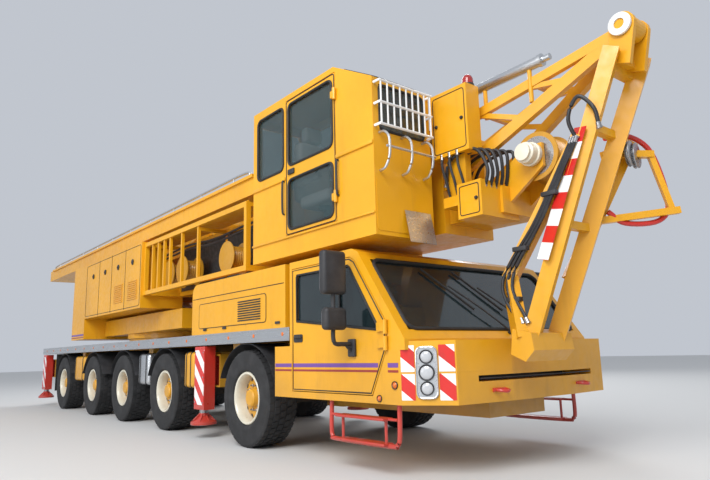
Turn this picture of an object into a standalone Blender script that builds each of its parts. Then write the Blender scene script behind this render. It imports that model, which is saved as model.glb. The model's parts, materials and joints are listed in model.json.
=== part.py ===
"""Five-axle mobile tower crane, folded for the road.

Frame: +X forward, +Y to the crane's left, +Z up; origin on the ground under the middle of the
crane's box.  All sizes are in metres.
"""
import math

import bmesh
import bpy
from mathutils import Matrix, Vector

NAME = "mobile_crane"

# ---- driving dimensions ------------------------------------------------------------------
SEAT = 0.0003                 # gap between pieces that touch
RUN = 0.008                   # running gap round doors and hatches
HALF_WIDTH = 1.37             # half the carrier's width

# axle name, x of the axle, whether it steers
AXLES = (("1", 3.10, True), ("2", 0.63, True), ("3", -1.21, False), ("4", -2.95, False), ("5", -5.05, True))
SIDES = (("right", -1), ("left", 1))
TYRE_RADIUS = 0.55
TYRE_WIDTH = 0.39
RIM_RADIUS = 0.30
WHEEL_Y = 1.165               # wheel centre from the middle plane
WHEEL_Z = TYRE_RADIUS
HUB_BACK = 0.10               # hub's back face from the wheel's middle plane
KINGPIN_Y = 0.96
KINGPIN_RADIUS = 0.085
AXLE_HALF = 0.09              # half the axle beam's section

FRAME_HALF = 0.42             # half the chassis frame's width
FRAME_LOW, FRAME_TOP = 0.72, 1.10
FRAME_REAR, FRAME_FRONT = -7.00, 3.60
NOSE_LOW = 0.42               # low front part of the frame, under the road cab
NOSE_FRONT = 5.90

DECK_REAR, DECK_FRONT = -6.98, 4.07
DECK_LOW, DECK_TOP = 1.22, 1.26
RAIL_LOW, RAIL_TOP = 1.18, 1.32
RAIL_WIDE = 0.06

SLEW_X = -2.10
PEDESTAL_RADIUS, PEDESTAL_TOP = 0.90, 1.40
PEDESTAL_GAP = 0.06           # ring gap between pedestal and deck

OUTRIGGERS = (("front", 1.90), ("rear", -6.74))    # outrigger name, x of its box
BOX_LOW, BOX_TOP = 0.64, 1.06                       # outrigger box, outside
BOX_HALF, BOX_WALL = 0.23, 0.02
BOX_REACH = 1.19                                    # half length of the box across the crane
BEAM_GAP = 0.006
LEG_DEEP = 0.15                                     # leg housing, along y
LEG_HALF = 0.15
LEG_LOW, LEG_TOP = 0.36, 1.165
JACK_RADIUS, JACK_LOW = 0.055, 0.17
PAD_RADIUS, PAD_HIGH = 0.17, 0.10

CAB_WALL = 0.05
CAB_REAR, TUB_REAR = 4.085, 3.79
TUB_LOW, HOOD_TOP = 0.60, 1.12
SCREEN_FOOT = (5.83, 1.14)    # foot and head of the sloping windscreen, x and z
SCREEN_HEAD = (5.24, 1.96)
ROOF_TOP = 2.00
CORNER_X, NOSE_X = 5.76, 6.20  # where the side turns into the nose, and the nose's middle
CORNER_Y = 1.10
BUMPER_TOP = 0.86
BUMPER_BACK = 5.66
DOOR_FRONT_X = 5.60
HINGE_RADIUS = 0.0197         # hinge barrel, standing proud of the skin
HINGE_OUT = 0.02
DOOR_REAR_X, DOOR_LOW, DOOR_TOP = 4.135, 0.67, 1.92

HOUSING_REAR, HOUSING_FRONT = 1.63, 4.00
HOUSING_TOP, HOUSING_WALL, HOUSING_ROUND = 2.00, 0.04, 0.14

UPPER_REAR, UPPER_MID, UPPER_FRONT = -4.50, -3.60, -0.43
UPPER_LOW, UPPER_TOP = 1.44, 2.96
HOUSE_LOW = 1.85
SLOT_HALF = 0.62              # half the slot that the tower lies in
HOUSE_CROWN = 1.05            # inner edge of the machinery house's top

TOWER_PIN_X, TOWER_PIN_Z = -3.90, 2.50
TOWER_PIN_RADIUS = 0.07
TOWER_REAR, TOWER_FRONT = -4.22, 4.30
TOWER_HALF, TOWER_LOW, TOWER_TOP = 0.44, 2.15, 2.85
TOWER_WALL, TOWER_SLIDE = 0.05, 0.010
INNER_REAR, INNER_FRONT = -3.30, 5.45
INNER_WALL = 0.04

BAY_FRONT = 3.05
BAY_LOW, BAY_TOP = 2.05, 2.92
BAY_BAR = 0.07

JIB_PIN_X, JIB_PIN_Z = 5.30, 3.22
JIB_HALF, JIB_LOW, JIB_TOP = 0.28, 3.015, 3.42
JIB_FOLD_X, JIB_FOLD_Y = -7.365, -0.44
HOOK_X = -5.50
OUTER_FRONT = 3.10            # free end of the folded outer jib
OUTER_WIDE = 0.64
OUTER_TOP = 3.26

HEAD_X, HEAD_Z = 7.33, 3.70   # head pin that carries the strut
HEAD_PIN_RADIUS = 0.045
FOOT_X, FOOT_Z = 6.45, 1.06

OPCAB_REAR, OPCAB_FRONT = 3.30, 5.52
OPCAB_LOW, OPCAB_TOP = 2.08, 3.93
OPCAB_INNER_Y = -0.62
OPCAB_WALL = 0.05
OPCAB_PIN_X, OPCAB_PIN_Z = 4.90, 2.50

DRUM_X, DRUM_Z, DRUM_RADIUS = 6.40, 2.80, 0.19

# material name: colour, roughness, metallic
PAINTS = {
    "yellow": ((0.86, 0.50, 0.02), 0.35, 0.0),
    "frame_yellow": ((0.62, 0.33, 0.02), 0.5, 0.0),
    "red": ((0.62, 0.03, 0.02), 0.4, 0.0),
    "rubber": ((0.02, 0.02, 0.02), 0.85, 0.0),
    "cream": ((0.85, 0.80, 0.62), 0.4, 0.0),
    "dark": ((0.05, 0.05, 0.05), 0.6, 0.0),
    "silver": ((0.62, 0.64, 0.66), 0.35, 0.8),
    "steel": ((0.35, 0.35, 0.36), 0.4, 0.9),
}


# ---- helpers -----------------------------------------------------------------------------
for old in list(bpy.data.objects):
    bpy.data.objects.remove(old, do_unlink=True)
parts = bpy.data.collections.new(NAME)
cutters = bpy.data.collections.new("cutters")
bpy.context.scene.collection.children.link(parts)
bpy.context.scene.collection.children.link(cutters)


def paint(name, node):
    """One Principled material for one node."""
    colour, roughness, metallic = PAINTS[name]
    material = bpy.data.materials.new(node + "_paint")
    material.use_nodes = True
    shader = material.node_tree.nodes["Principled BSDF"]
    shader.inputs["Base Color"].default_value = (*colour, 1.0)
    shader.inputs["Roughness"].default_value = roughness
    shader.inputs["Metallic"].default_value = metallic
    material.diffuse_color = (*colour, 1.0)
    return material


def solid(mesh):
    """A loose helper solid, used to build up or cut a node."""
    obj = bpy.data.objects.new("solid", mesh)
    obj.hide_render = True
    obj.display_type = "WIRE"
    cutters.objects.link(obj)
    return obj


def from_bmesh(work):
    mesh = bpy.data.meshes.new("solid")
    bmesh.ops.recalc_face_normals(work, faces=work.faces)
    work.to_mesh(mesh)
    work.free()
    return solid(mesh)


def box(low, high):
    """Block between two corners."""
    low, high = Vector(low), Vector(high)
    work = bmesh.new()
    place = Matrix.Translation((low + high) / 2) @ Matrix.Diagonal((*(high - low), 1.0))
    bmesh.ops.create_cube(work, size=1.0, matrix=place)
    return from_bmesh(work)


def rod(start, end, radius, sides=16, tip=None):
    """Round bar between two points; tip is its radius at the end."""
    start, end = Vector(start), Vector(end)
    along = end - start
    turn = along.to_track_quat("Z", "Y").to_matrix().to_4x4()
    work = bmesh.new()
    bmesh.ops.create_cone(work, cap_ends=True, segments=sides, radius1=radius,
                          radius2=radius if tip is None else tip, depth=along.length,
                          matrix=Matrix.Translation((start + end) / 2) @ turn)
    return from_bmesh(work)


def bore_radius(radius, sides):
    """Radius of a faceted bore whose flats stay clear of a pin's corners in every turn of the pin."""
    return (radius + SEAT) / math.cos(math.pi / sides)


def beam(start, end, wide, high):
    """Rectangular bar between two points; wide is measured level, across the bar."""
    start, end = Vector(start), Vector(end)
    along = (end - start).normalized()
    level = along.cross(Vector((0, 0, 1)))
    level = Vector((0, 1, 0)) if level.length < 1e-6 else level.normalized()
    turn = Matrix((level, level.cross(along), along)).transposed().to_4x4()
    work = bmesh.new()
    size = Matrix.Diagonal((wide, high, (end - start).length, 1.0))
    bmesh.ops.create_cube(work, size=1.0, matrix=Matrix.Translation((start + end) / 2) @ turn @ size)
    return from_bmesh(work)


def outline(points, axis, low, high):
    """Flat outline pushed along an axis.  Points are (x, z) for axis y, (y, z) for x, (x, y) for z."""
    curve = bpy.data.curves.new("outline", "CURVE")
    curve.dimensions = "2D"
    curve.fill_mode = "BOTH"
    curve.extrude = (high - low) / 2
    spline = curve.splines.new("POLY")
    spline.points.add(len(points) - 1)
    for point, (u, v) in zip(spline.points, points):
        point.co = (u, v, 0.0, 1.0)
    spline.use_cyclic_u = True
    carrier = bpy.data.objects.new("outline", curve)
    cutters.objects.link(carrier)
    bpy.context.view_layer.update()
    mesh = bpy.data.meshes.new_from_object(carrier.evaluated_get(bpy.context.evaluated_depsgraph_get()))
    bpy.data.objects.remove(carrier)
    middle = (low + high) / 2
    turns = {
        "z": Matrix.Translation((0, 0, middle)),
        "y": Matrix.Translation((0, middle, 0)) @ Matrix.Rotation(math.pi / 2, 4, "X"),
        "x": Matrix.Translation((middle, 0, 0)) @ Matrix(((0, 0, 1, 0), (1, 0, 0, 0), (0, 1, 0, 0), (0, 0, 0, 1))),
    }
    work = bmesh.new()
    work.from_mesh(mesh)
    bmesh.ops.remove_doubles(work, verts=work.verts, dist=0.0001)
    work.transform(turns[axis])
    return from_bmesh(work)


def mirrored(points):
    """Both halves of an outline that is symmetric about its second coordinate."""
    return list(points) + [(u, -v) for u, v in reversed(points) if abs(v) > 1e-9]


def arc(centre, radius, start, end, steps=6):
    """Points on an arc, angles in degrees."""
    return [(centre[0] + radius * math.cos(math.radians(start + (end - start) * i / steps)),
             centre[1] + radius * math.sin(math.radians(start + (end - start) * i / steps)))
            for i in range(steps + 1)]


def turned(profile, place, sides, ring=False):
    """Solid of revolution about y.  The profile is (radius, offset along y); ring closes it."""
    work = bmesh.new()
    points = [work.verts.new((radius, 0.0, offset)) for radius, offset in profile]
    for first, second in zip(points, points[1:] + (points[:1] if ring else [])):
        work.edges.new((first, second))
    mesh = bpy.data.meshes.new("solid")
    work.to_mesh(mesh)
    work.free()
    obj = solid(mesh)
    screw = obj.modifiers.new("turn", "SCREW")
    screw.steps = sides
    screw.render_steps = sides
    screw.use_merge_vertices = True
    screw.merge_threshold = 0.0001
    bpy.context.view_layer.update()
    whole = bpy.data.meshes.new_from_object(obj.evaluated_get(bpy.context.evaluated_depsgraph_get()))
    bpy.data.objects.remove(obj)
    work = bmesh.new()
    work.from_mesh(whole)
    bmesh.ops.remove_doubles(work, verts=work.verts, dist=0.0001)
    work.transform(Matrix.Translation(place) @ Matrix.Rotation(-math.pi / 2, 4, "X"))
    return from_bmesh(work)


def make(node, colour, base, adds=(), cuts=(), origin=(0.0, 0.0, 0.0)):
    """Finish a node: base plus the added solids, less the cut ones, with its origin on its joint."""
    base.name = node
    base.data.name = node
    base.hide_render = False
    base.display_type = "TEXTURED"
    cutters.objects.unlink(base)
    parts.objects.link(base)
    for work, operation, tools in (("join", "UNION", adds), ("cut", "DIFFERENCE", cuts)):
        if tools:
            group = bpy.data.collections.new(node + "_" + work)
            cutters.children.link(group)
            for tool in tools:
                group.objects.link(tool)
                cutters.objects.unlink(tool)
                tool.name = node + "_" + work
            step = base.modifiers.new(work, "BOOLEAN")
            step.operation = operation
            step.operand_type = "COLLECTION"
            step.collection = group
            step.solver = "EXACT"
    base.data.materials.clear()
    base.data.materials.append(paint(colour, node))
    base.data.transform(Matrix.Translation(-Vector(origin)))
    base.location = origin
    return base


# ---- carrier -----------------------------------------------------------------------------
def chassis():
    """Frame with a low nose, the four outrigger boxes' two tunnels and the slewing pedestal."""
    base = box((FRAME_REAR, -FRAME_HALF, FRAME_LOW), (FRAME_FRONT, FRAME_HALF, FRAME_TOP))
    adds = [
        box((3.42, -FRAME_HALF + 0.01, NOSE_LOW), (3.74, FRAME_HALF - 0.01, FRAME_TOP - 0.01)),
        box((3.60, -FRAME_HALF, NOSE_LOW + 0.01), (NOSE_FRONT, FRAME_HALF, TUB_LOW - SEAT)),
        rod((SLEW_X, 0, FRAME_TOP - 0.05), (SLEW_X, 0, PEDESTAL_TOP), PEDESTAL_RADIUS, 40),
    ]
    cuts = []
    for _, x in OUTRIGGERS:
        adds.append(box((x - BOX_HALF, -BOX_REACH, BOX_LOW), (x + BOX_HALF, BOX_REACH, BOX_TOP)))
        cuts.append(box((x - BOX_HALF + BOX_WALL, -BOX_REACH - 0.1, BOX_LOW + BOX_WALL),
                        (x + BOX_HALF - BOX_WALL, BOX_REACH + 0.1, BOX_TOP - BOX_WALL)))
    for x in (-5.6, -4.1, -0.3, 2.6):
        adds.append(box((x - 0.09, -1.20, FRAME_TOP - 0.06), (x + 0.09, 1.20, DECK_LOW - SEAT)))
    make("chassis_frame", "frame_yellow", base, adds, cuts)


def driveline():
    """Five axle beams on one line of propeller shafts, with hangers up to the frame."""
    base = rod((AXLES[-1][1], 0, WHEEL_Z), (AXLES[0][1], 0, WHEEL_Z), 0.06, 12)
    adds = []
    for _, x, steers in AXLES:
        reach = KINGPIN_Y - KINGPIN_RADIUS - SEAT if steers else WHEEL_Y - HUB_BACK - SEAT
        adds.append(box((x - AXLE_HALF, -reach, WHEEL_Z - AXLE_HALF), (x + AXLE_HALF, reach, WHEEL_Z + AXLE_HALF)))
        adds.append(rod((x - 0.22, 0, WHEEL_Z), (x + 0.2, 0, WHEEL_Z), 0.17, 12, 0.12))
        for side in (-1, 1):
            adds.append(box((x - 0.05, side * 0.30 - 0.05, WHEEL_Z), (x + 0.05, side * 0.30 + 0.05, FRAME_LOW - SEAT)))
    make("axles_and_driveline", "dark", base, adds)


def deck():
    """Deck plate between two side rails, with a round hole for the slewing pedestal."""
    base = box((DECK_REAR, -HALF_WIDTH + 0.01, DECK_LOW), (DECK_FRONT, HALF_WIDTH - 0.01, DECK_TOP))
    adds = [box((DECK_REAR - 0.01, min(side * HALF_WIDTH, side * (HALF_WIDTH - RAIL_WIDE)), RAIL_LOW),
                (DECK_FRONT + 0.005, max(side * HALF_WIDTH, side * (HALF_WIDTH - RAIL_WIDE)), RAIL_TOP))
            for side in (-1, 1)]
    adds.append(box((DECK_REAR - 0.02, -HALF_WIDTH + 0.02, RAIL_LOW + 0.005), (DECK_REAR + 0.05, HALF_WIDTH - 0.02, RAIL_TOP - 0.005)))
    hole = rod((SLEW_X, 0, DECK_LOW - 0.1), (SLEW_X, 0, DECK_TOP + 0.1), PEDESTAL_RADIUS + PEDESTAL_GAP, 40)
    make("deck", "silver", base, adds, [hole])


def engine_housing():
    """Hood over the carrier's engine, open below, with its rear top edge rounded."""
    low = RAIL_TOP + SEAT

    def side_view(wall):
        rear, front, top = HOUSING_REAR + wall, HOUSING_FRONT - wall, HOUSING_TOP - wall
        bend = HOUSING_ROUND - wall
        return [(rear, low - wall), (front, low - wall), (front, top)] + arc((rear + bend, top - bend), bend, 90, 180)

    base = outline(side_view(0.0), "y", -HALF_WIDTH, HALF_WIDTH)
    hollow = outline(side_view(HOUSING_WALL), "y", -HALF_WIDTH + HOUSING_WALL, HALF_WIDTH - HOUSING_WALL)
    make("engine_housing", "yellow", base, cuts=[hollow])
    block = box((2.10, -0.48, DECK_TOP + SEAT), (3.55, 0.48, 1.88))
    make("carrier_engine", "dark", block)


def nose_plan(back, inset, front_cut=0.0):
    """Plan of the carrier's nose: straight sides, raked corners and a gently bowed front."""
    side = HALF_WIDTH - inset
    return mirrored([(back, side), (CORNER_X - inset * 0.3, side), (NOSE_X - 0.05 - inset, CORNER_Y - inset * 0.6),
                     (NOSE_X - inset - front_cut, 0.45)])


def door_side(gap):
    """Side outline of a road cab door, grown by the gap."""
    return [(DOOR_REAR_X - gap, DOOR_LOW - gap), (5.40 + gap, DOOR_LOW - gap), (DOOR_FRONT_X + gap, 1.06),
            (DOOR_FRONT_X + gap, 1.30), (5.19 + gap, 1.88), (5.12, DOOR_TOP + gap), (DOOR_REAR_X - gap, DOOR_TOP + gap)]


def hinge_barrels(edge_x, side, heights):
    """Barrels tangent to the skin just ahead of a door's front edge, each with a strap onto the door."""
    x, y = edge_x + HINGE_OUT - 0.005, side * (HALF_WIDTH + HINGE_OUT)
    pieces = []
    for z in heights:
        pieces.append(rod((x, y, z - 0.06), (x, y, z + 0.06), HINGE_RADIUS, 12))
        ends = sorted((side * (HALF_WIDTH - 0.01), side * (HALF_WIDTH + HINGE_OUT)))
        pieces.append(box((edge_x - 0.10, ends[0], z - 0.04), (edge_x - 0.002, ends[1], z + 0.04)))
        ends = sorted((side * (HALF_WIDTH + 0.010), side * (HALF_WIDTH + HINGE_OUT + 0.008)))
        pieces.append(box((edge_x - 0.05, ends[0], z - 0.035), (x, ends[1], z + 0.035)))
    return (x, y, 0.0), pieces


def road_cab():
    """Low two-seat cab: a tub below, a hollow cabin above, openings for doors and windscreen."""
    tub = outline(nose_plan(TUB_REAR, 0.0), "z", TUB_LOW, HOOD_TOP)
    cabin_side = [(CAB_REAR, 1.05), (SCREEN_FOOT[0], 1.05), SCREEN_FOOT, SCREEN_HEAD,
                  (SCREEN_HEAD[0] - 0.09, ROOF_TOP), (CAB_REAR, ROOF_TOP)]
    cabin = outline(cabin_side, "y", -HALF_WIDTH + 0.002, HALF_WIDTH - 0.002)
    tub_hollow = outline(nose_plan(TUB_REAR + CAB_WALL, CAB_WALL), "z", TUB_LOW + CAB_WALL, HOOD_TOP - CAB_WALL)
    rear = CAB_REAR + CAB_WALL
    inside = [(rear, 0.90), (SCREEN_FOOT[0] - 0.06, 0.90), (SCREEN_FOOT[0] - 0.06, SCREEN_FOOT[1]),
              (SCREEN_HEAD[0] - 0.05, SCREEN_HEAD[1] - 0.02), (SCREEN_HEAD[0] - 0.10, ROOF_TOP - CAB_WALL),
              (rear, ROOF_TOP - CAB_WALL)]
    cabin_hollow = outline(inside, "y", -HALF_WIDTH + CAB_WALL + 0.002, HALF_WIDTH - CAB_WALL - 0.002)
    screen = outline([(5.55, 1.22), (6.00, 1.22), (5.52, 1.89), (5.12, 1.89)], "y", -1.26, 1.26)
    bumper_room = box((BUMPER_BACK, -1.6, TUB_LOW - 0.1), (6.6, 1.6, BUMPER_TOP))
    cuts = [tub_hollow, cabin_hollow, screen, bumper_room]
    for side in (-1, 1):
        ends = sorted((side * (HALF_WIDTH - CAB_WALL - 0.02), side * (HALF_WIDTH + 0.05)))
        cuts.append(outline(door_side(RUN), "y", *ends))
    make("road_cab", "yellow", tub, [cabin], cuts)


def front_bumper():
    """Bumper across the nose, bowed like it, with a long air slot above its lower bar."""
    base = outline(nose_plan(BUMPER_BACK + SEAT, 0.0), "z", TUB_LOW, BUMPER_TOP - SEAT)
    back = outline(nose_plan(BUMPER_BACK - 0.2, 0.16), "z", TUB_LOW - 0.05, BUMPER_TOP + 0.05)
    slot = box((5.90, -0.86, 0.775), (6.40, 0.86, 0.825))
    make("front_bumper", "yellow", base, cuts=[back, slot])


def road_cab_interior():
    """Floor, two seats, dash and steering wheel, as one black moulding."""
    floor = TUB_LOW + CAB_WALL + SEAT
    base = box((4.16, -1.24, floor), (5.62, 1.24, floor + 0.04))
    adds = [box((5.30, -1.235, floor + 0.02), (5.60, 1.235, 1.08))]
    for _, side in SIDES:
        y = side * 0.72
        adds.append(box((4.45, y - 0.20, floor + 0.02), (4.85, y + 0.20, 0.92)))
        adds.append(box((4.38, y - 0.26, 0.90), (4.92, y + 0.26, 1.03)))
        adds.append(beam((4.42, y, 0.95), (4.26, y, 1.66), 0.48, 0.11))
    wheel = rod((5.05, 0.72, 1.22), (5.02, 0.72, 1.245), 0.22, 20)
    adds += [wheel, beam((5.36, 0.72, 1.00), (5.05, 0.72, 1.22), 0.07, 0.07)]
    make("road_cab_interior", "dark", base, adds)


def doors():
    """Road cab doors, hinged at their front edges, each with a mirror on arms."""
    for name, side in SIDES:
        y_ends = sorted((side * (HALF_WIDTH - CAB_WALL), side * HALF_WIDTH))
        leaf = outline(door_side(0.0), "y", *y_ends)
        window = outline([(4.21, 1.36), (5.50, 1.22), (5.50, 1.28), (5.12, 1.84), (4.21, 1.86)], "y",
                         y_ends[0] - 0.05, y_ends[1] + 0.05)
        hinge, barrels = hinge_barrels(DOOR_FRONT_X, side, (1.11, 1.25))
        make("door_" + name, "yellow", leaf, barrels, [window], origin=hinge)
        y = side * (HALF_WIDTH + SEAT)
        out = side * (HALF_WIDTH + 0.22)
        head = box((5.10, out - 0.13, 1.56), (5.20, out + 0.13, 1.96))
        adds = [
            box((5.11, out - 0.12, 1.24), (5.21, out + 0.12, 1.44)),
            box((5.13, out - 0.025, 1.10), (5.17, out + 0.025, 1.60)),
            box((5.13, min(y, out), 1.10), (5.17, max(y, out), 1.14)),
            box((5.10, min(y, y + side * 0.03), 1.00), (5.20, max(y, y + side * 0.03), 1.16)),
        ]
        make("mirror_" + name, "dark", head, adds, origin=hinge)


def running_gear():
    """Ten wheels with tyres, and a knuckle with its kingpin at each steered wheel."""
    half = TYRE_WIDTH / 2
    tyre_profile = [(RIM_RADIUS + SEAT, half - 0.03), (RIM_RADIUS + 0.08, half), (TYRE_RADIUS - 0.07, half),
                    (TYRE_RADIUS, half - 0.035), (TYRE_RADIUS, 0.035 - half), (TYRE_RADIUS - 0.07, -half),
                    (RIM_RADIUS + 0.08, -half), (RIM_RADIUS + SEAT, 0.03 - half)]
    wheel_profile = [(0.0, 0.125), (0.10, 0.125), (0.115, 0.05), (0.215, 0.02), (0.262, half - 0.04),
                     (RIM_RADIUS, half - 0.032), (RIM_RADIUS, 0.032 - half), (0.265, 0.035 - half),
                     (0.245, -0.02), (0.13, -0.03), (0.12, -HUB_BACK), (0.0, -HUB_BACK)]
    for axle, x, steers in AXLES:
        for name, side in SIDES:
            place = (x, side * WHEEL_Y, WHEEL_Z)
            label = axle + "_" + name
            tyre = turned([(r, s * side) for r, s in tyre_profile], place, 20, ring=True)
            make("tyre_" + label, "rubber", tyre, origin=place)
            wheel = turned([(r, s * side) for r, s in wheel_profile], place, 20)
            make("wheel_" + label, "cream", wheel, origin=place)
            if steers:
                pivot = (x, side * KINGPIN_Y, WHEEL_Z)
                pin = rod((x, pivot[1], WHEEL_Z - 0.15), (x, pivot[1], WHEEL_Z + 0.15), KINGPIN_RADIUS, 20)
                stub = rod(pivot, (x, side * (WHEEL_Y - HUB_BACK - SEAT), WHEEL_Z), 0.07, 16)
                make("knuckle_" + label, "dark", pin, [stub], origin=pivot)


def outriggers():
    """Sliding beams, two abreast in each box, and a jack in the leg at each beam's end."""
    for name, x in OUTRIGGERS:
        for side_name, side in SIDES:
            inner = (BOX_HALF - BOX_WALL - BEAM_GAP)
            near, far = sorted((side * BEAM_GAP / 2, side * inner))
            reach = sorted((-side * 1.12, side * (HALF_WIDTH - LEG_DEEP / 2)))
            base = box((x + near, reach[0], BOX_LOW + BOX_WALL + SEAT), (x + far, reach[1], BOX_TOP - BOX_WALL - BEAM_GAP))
            leg_y = sorted((side * (HALF_WIDTH - LEG_DEEP), side * HALF_WIDTH))
            leg = box((x - LEG_HALF, leg_y[0], LEG_LOW), (x + LEG_HALF, leg_y[1], LEG_TOP))
            jack_y = side * (HALF_WIDTH - LEG_DEEP / 2)
            bore = rod((x, jack_y, LEG_LOW - 0.1), (x, jack_y, LEG_TOP + 0.1), JACK_RADIUS + SEAT, 20)
            label = name + "_" + side_name
            make("outrigger_beam_" + label, "red", base, [leg], [bore], origin=(x, jack_y, 0.85))
            jack = rod((x, jack_y, JACK_LOW + 0.02), (x, jack_y, LEG_TOP - 0.01), JACK_RADIUS, 20)
            pad = rod((x, jack_y, JACK_LOW), (x, jack_y, JACK_LOW + PAD_HIGH), PAD_RADIUS, 20, 0.07)
            make("outrigger_jack_" + label, "steel", jack, [pad], origin=(x, jack_y, JACK_LOW))


# ---- upper works -------------------------------------------------------------------------
def turntable():
    """Slewing ring, base box and the two cheeks that carry the tower's foot pin."""
    base = rod((SLEW_X, 0, PEDESTAL_TOP + SEAT), (SLEW_X, 0, 1.52), PEDESTAL_RADIUS + 0.03, 40)
    adds = [box((UPPER_MID + 0.01, -0.95, 1.49), (0.30, 0.95, 1.80))]
    cheek = [(-4.15, 1.93), (UPPER_MID + 0.02, 1.93), (UPPER_MID + 0.02, 1.70), (-2.60, 1.70), (-2.60, 2.05),
             (-3.60, 2.86), (-4.15, 2.86)]
    for side in (-1, 1):
        adds.append(outline(cheek, "y", *sorted((side * 0.50, side * 0.58))))
    bore = rod((TOWER_PIN_X, -1, TOWER_PIN_Z), (TOWER_PIN_X, 1, TOWER_PIN_Z),
               bore_radius(TOWER_PIN_RADIUS, 24), 24)
    make("turntable", "yellow", base, adds, [bore], origin=(SLEW_X, 0, PEDESTAL_TOP))


def counterweight():
    """U-shaped ballast behind the tower's foot."""
    base = box((UPPER_REAR, -SLOT_HALF - 0.2, UPPER_LOW), (UPPER_MID, SLOT_HALF + 0.2, 1.90))
    adds = [box((UPPER_REAR + 0.001, min(side * SLOT_HALF, side * HALF_WIDTH), UPPER_LOW + 0.001),
                (UPPER_MID - 0.001, max(side * SLOT_HALF, side * HALF_WIDTH), UPPER_TOP)) for side in (-1, 1)]
    make("counterweight", "yellow", base, adds, origin=(SLEW_X, 0, PEDESTAL_TOP))


def machinery_house():
    """Two long housings beside the tower, joined by a floor plate over the base box."""
    section = [(-HALF_WIDTH, HOUSE_LOW), (-SLOT_HALF - 0.02, HOUSE_LOW), (-SLOT_HALF - 0.02, 2.10),
               (-HOUSE_CROWN, UPPER_TOP - 0.01), (-HALF_WIDTH, UPPER_TOP - 0.01)]
    back = UPPER_MID + SEAT
    base = outline(section, "x", back, UPPER_FRONT)
    adds = [outline([(-y, z) for y, z in section], "x", back, UPPER_FRONT),
            box((-2.40, -SLOT_HALF - 0.1, 1.80 + SEAT), (UPPER_FRONT - 0.05, SLOT_HALF + 0.1, 1.87))]
    make("machinery_house", "yellow", base, adds, origin=(SLEW_X, 0, PEDESTAL_TOP))


def service_bay():
    """Open framed bays beside the tower, in front of the machinery house, with upright bars."""
    back = UPPER_FRONT + SEAT
    outer = HALF_WIDTH - 0.04
    inner = SLOT_HALF + 0.02
    half = BAY_BAR / 2
    base = box((back, -outer, BAY_LOW), (back + BAY_BAR, outer, BAY_LOW + BAY_BAR))
    adds = [box((BAY_FRONT - BAY_BAR, -outer, BAY_LOW), (BAY_FRONT, outer, BAY_LOW + BAY_BAR))]
    for side in (-1, 1):
        for y in (side * (outer - half), side * (inner + half)):
            for z in (BAY_LOW, BAY_TOP - BAY_BAR):
                adds.append(box((back + 0.01, y - half + 0.002, z + 0.002), (BAY_FRONT - 0.01, y + half - 0.002, z + BAY_BAR - 0.002)))
            for x in (back + half, BAY_FRONT - half):
                adds.append(box((x - half + 0.004, y - half + 0.004, BAY_LOW + 0.01), (x + half - 0.004, y + half - 0.004, BAY_TOP - 0.01)))
        for z in (BAY_TOP - BAY_BAR,):
            for x in (back + half, 1.30, BAY_FRONT - half):
                ends = sorted((side * (outer - 0.02), side * (inner + 0.02)))
                adds.append(box((x - 0.03, ends[0], z + 0.01), (x + 0.03, ends[1], z + BAY_BAR - 0.01)))
        y = side * (outer - half)
        for x in (-0.10, 0.14, 0.38, 0.62, 1.06, 1.62):
            adds.append(box((x - 0.02, y - 0.02, BAY_LOW + 0.02), (x + 0.02, y + 0.02, BAY_TOP - 0.02)))
    make("service_bay", "yellow", base, adds, origin=(SLEW_X, 0, PEDESTAL_TOP))


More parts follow.
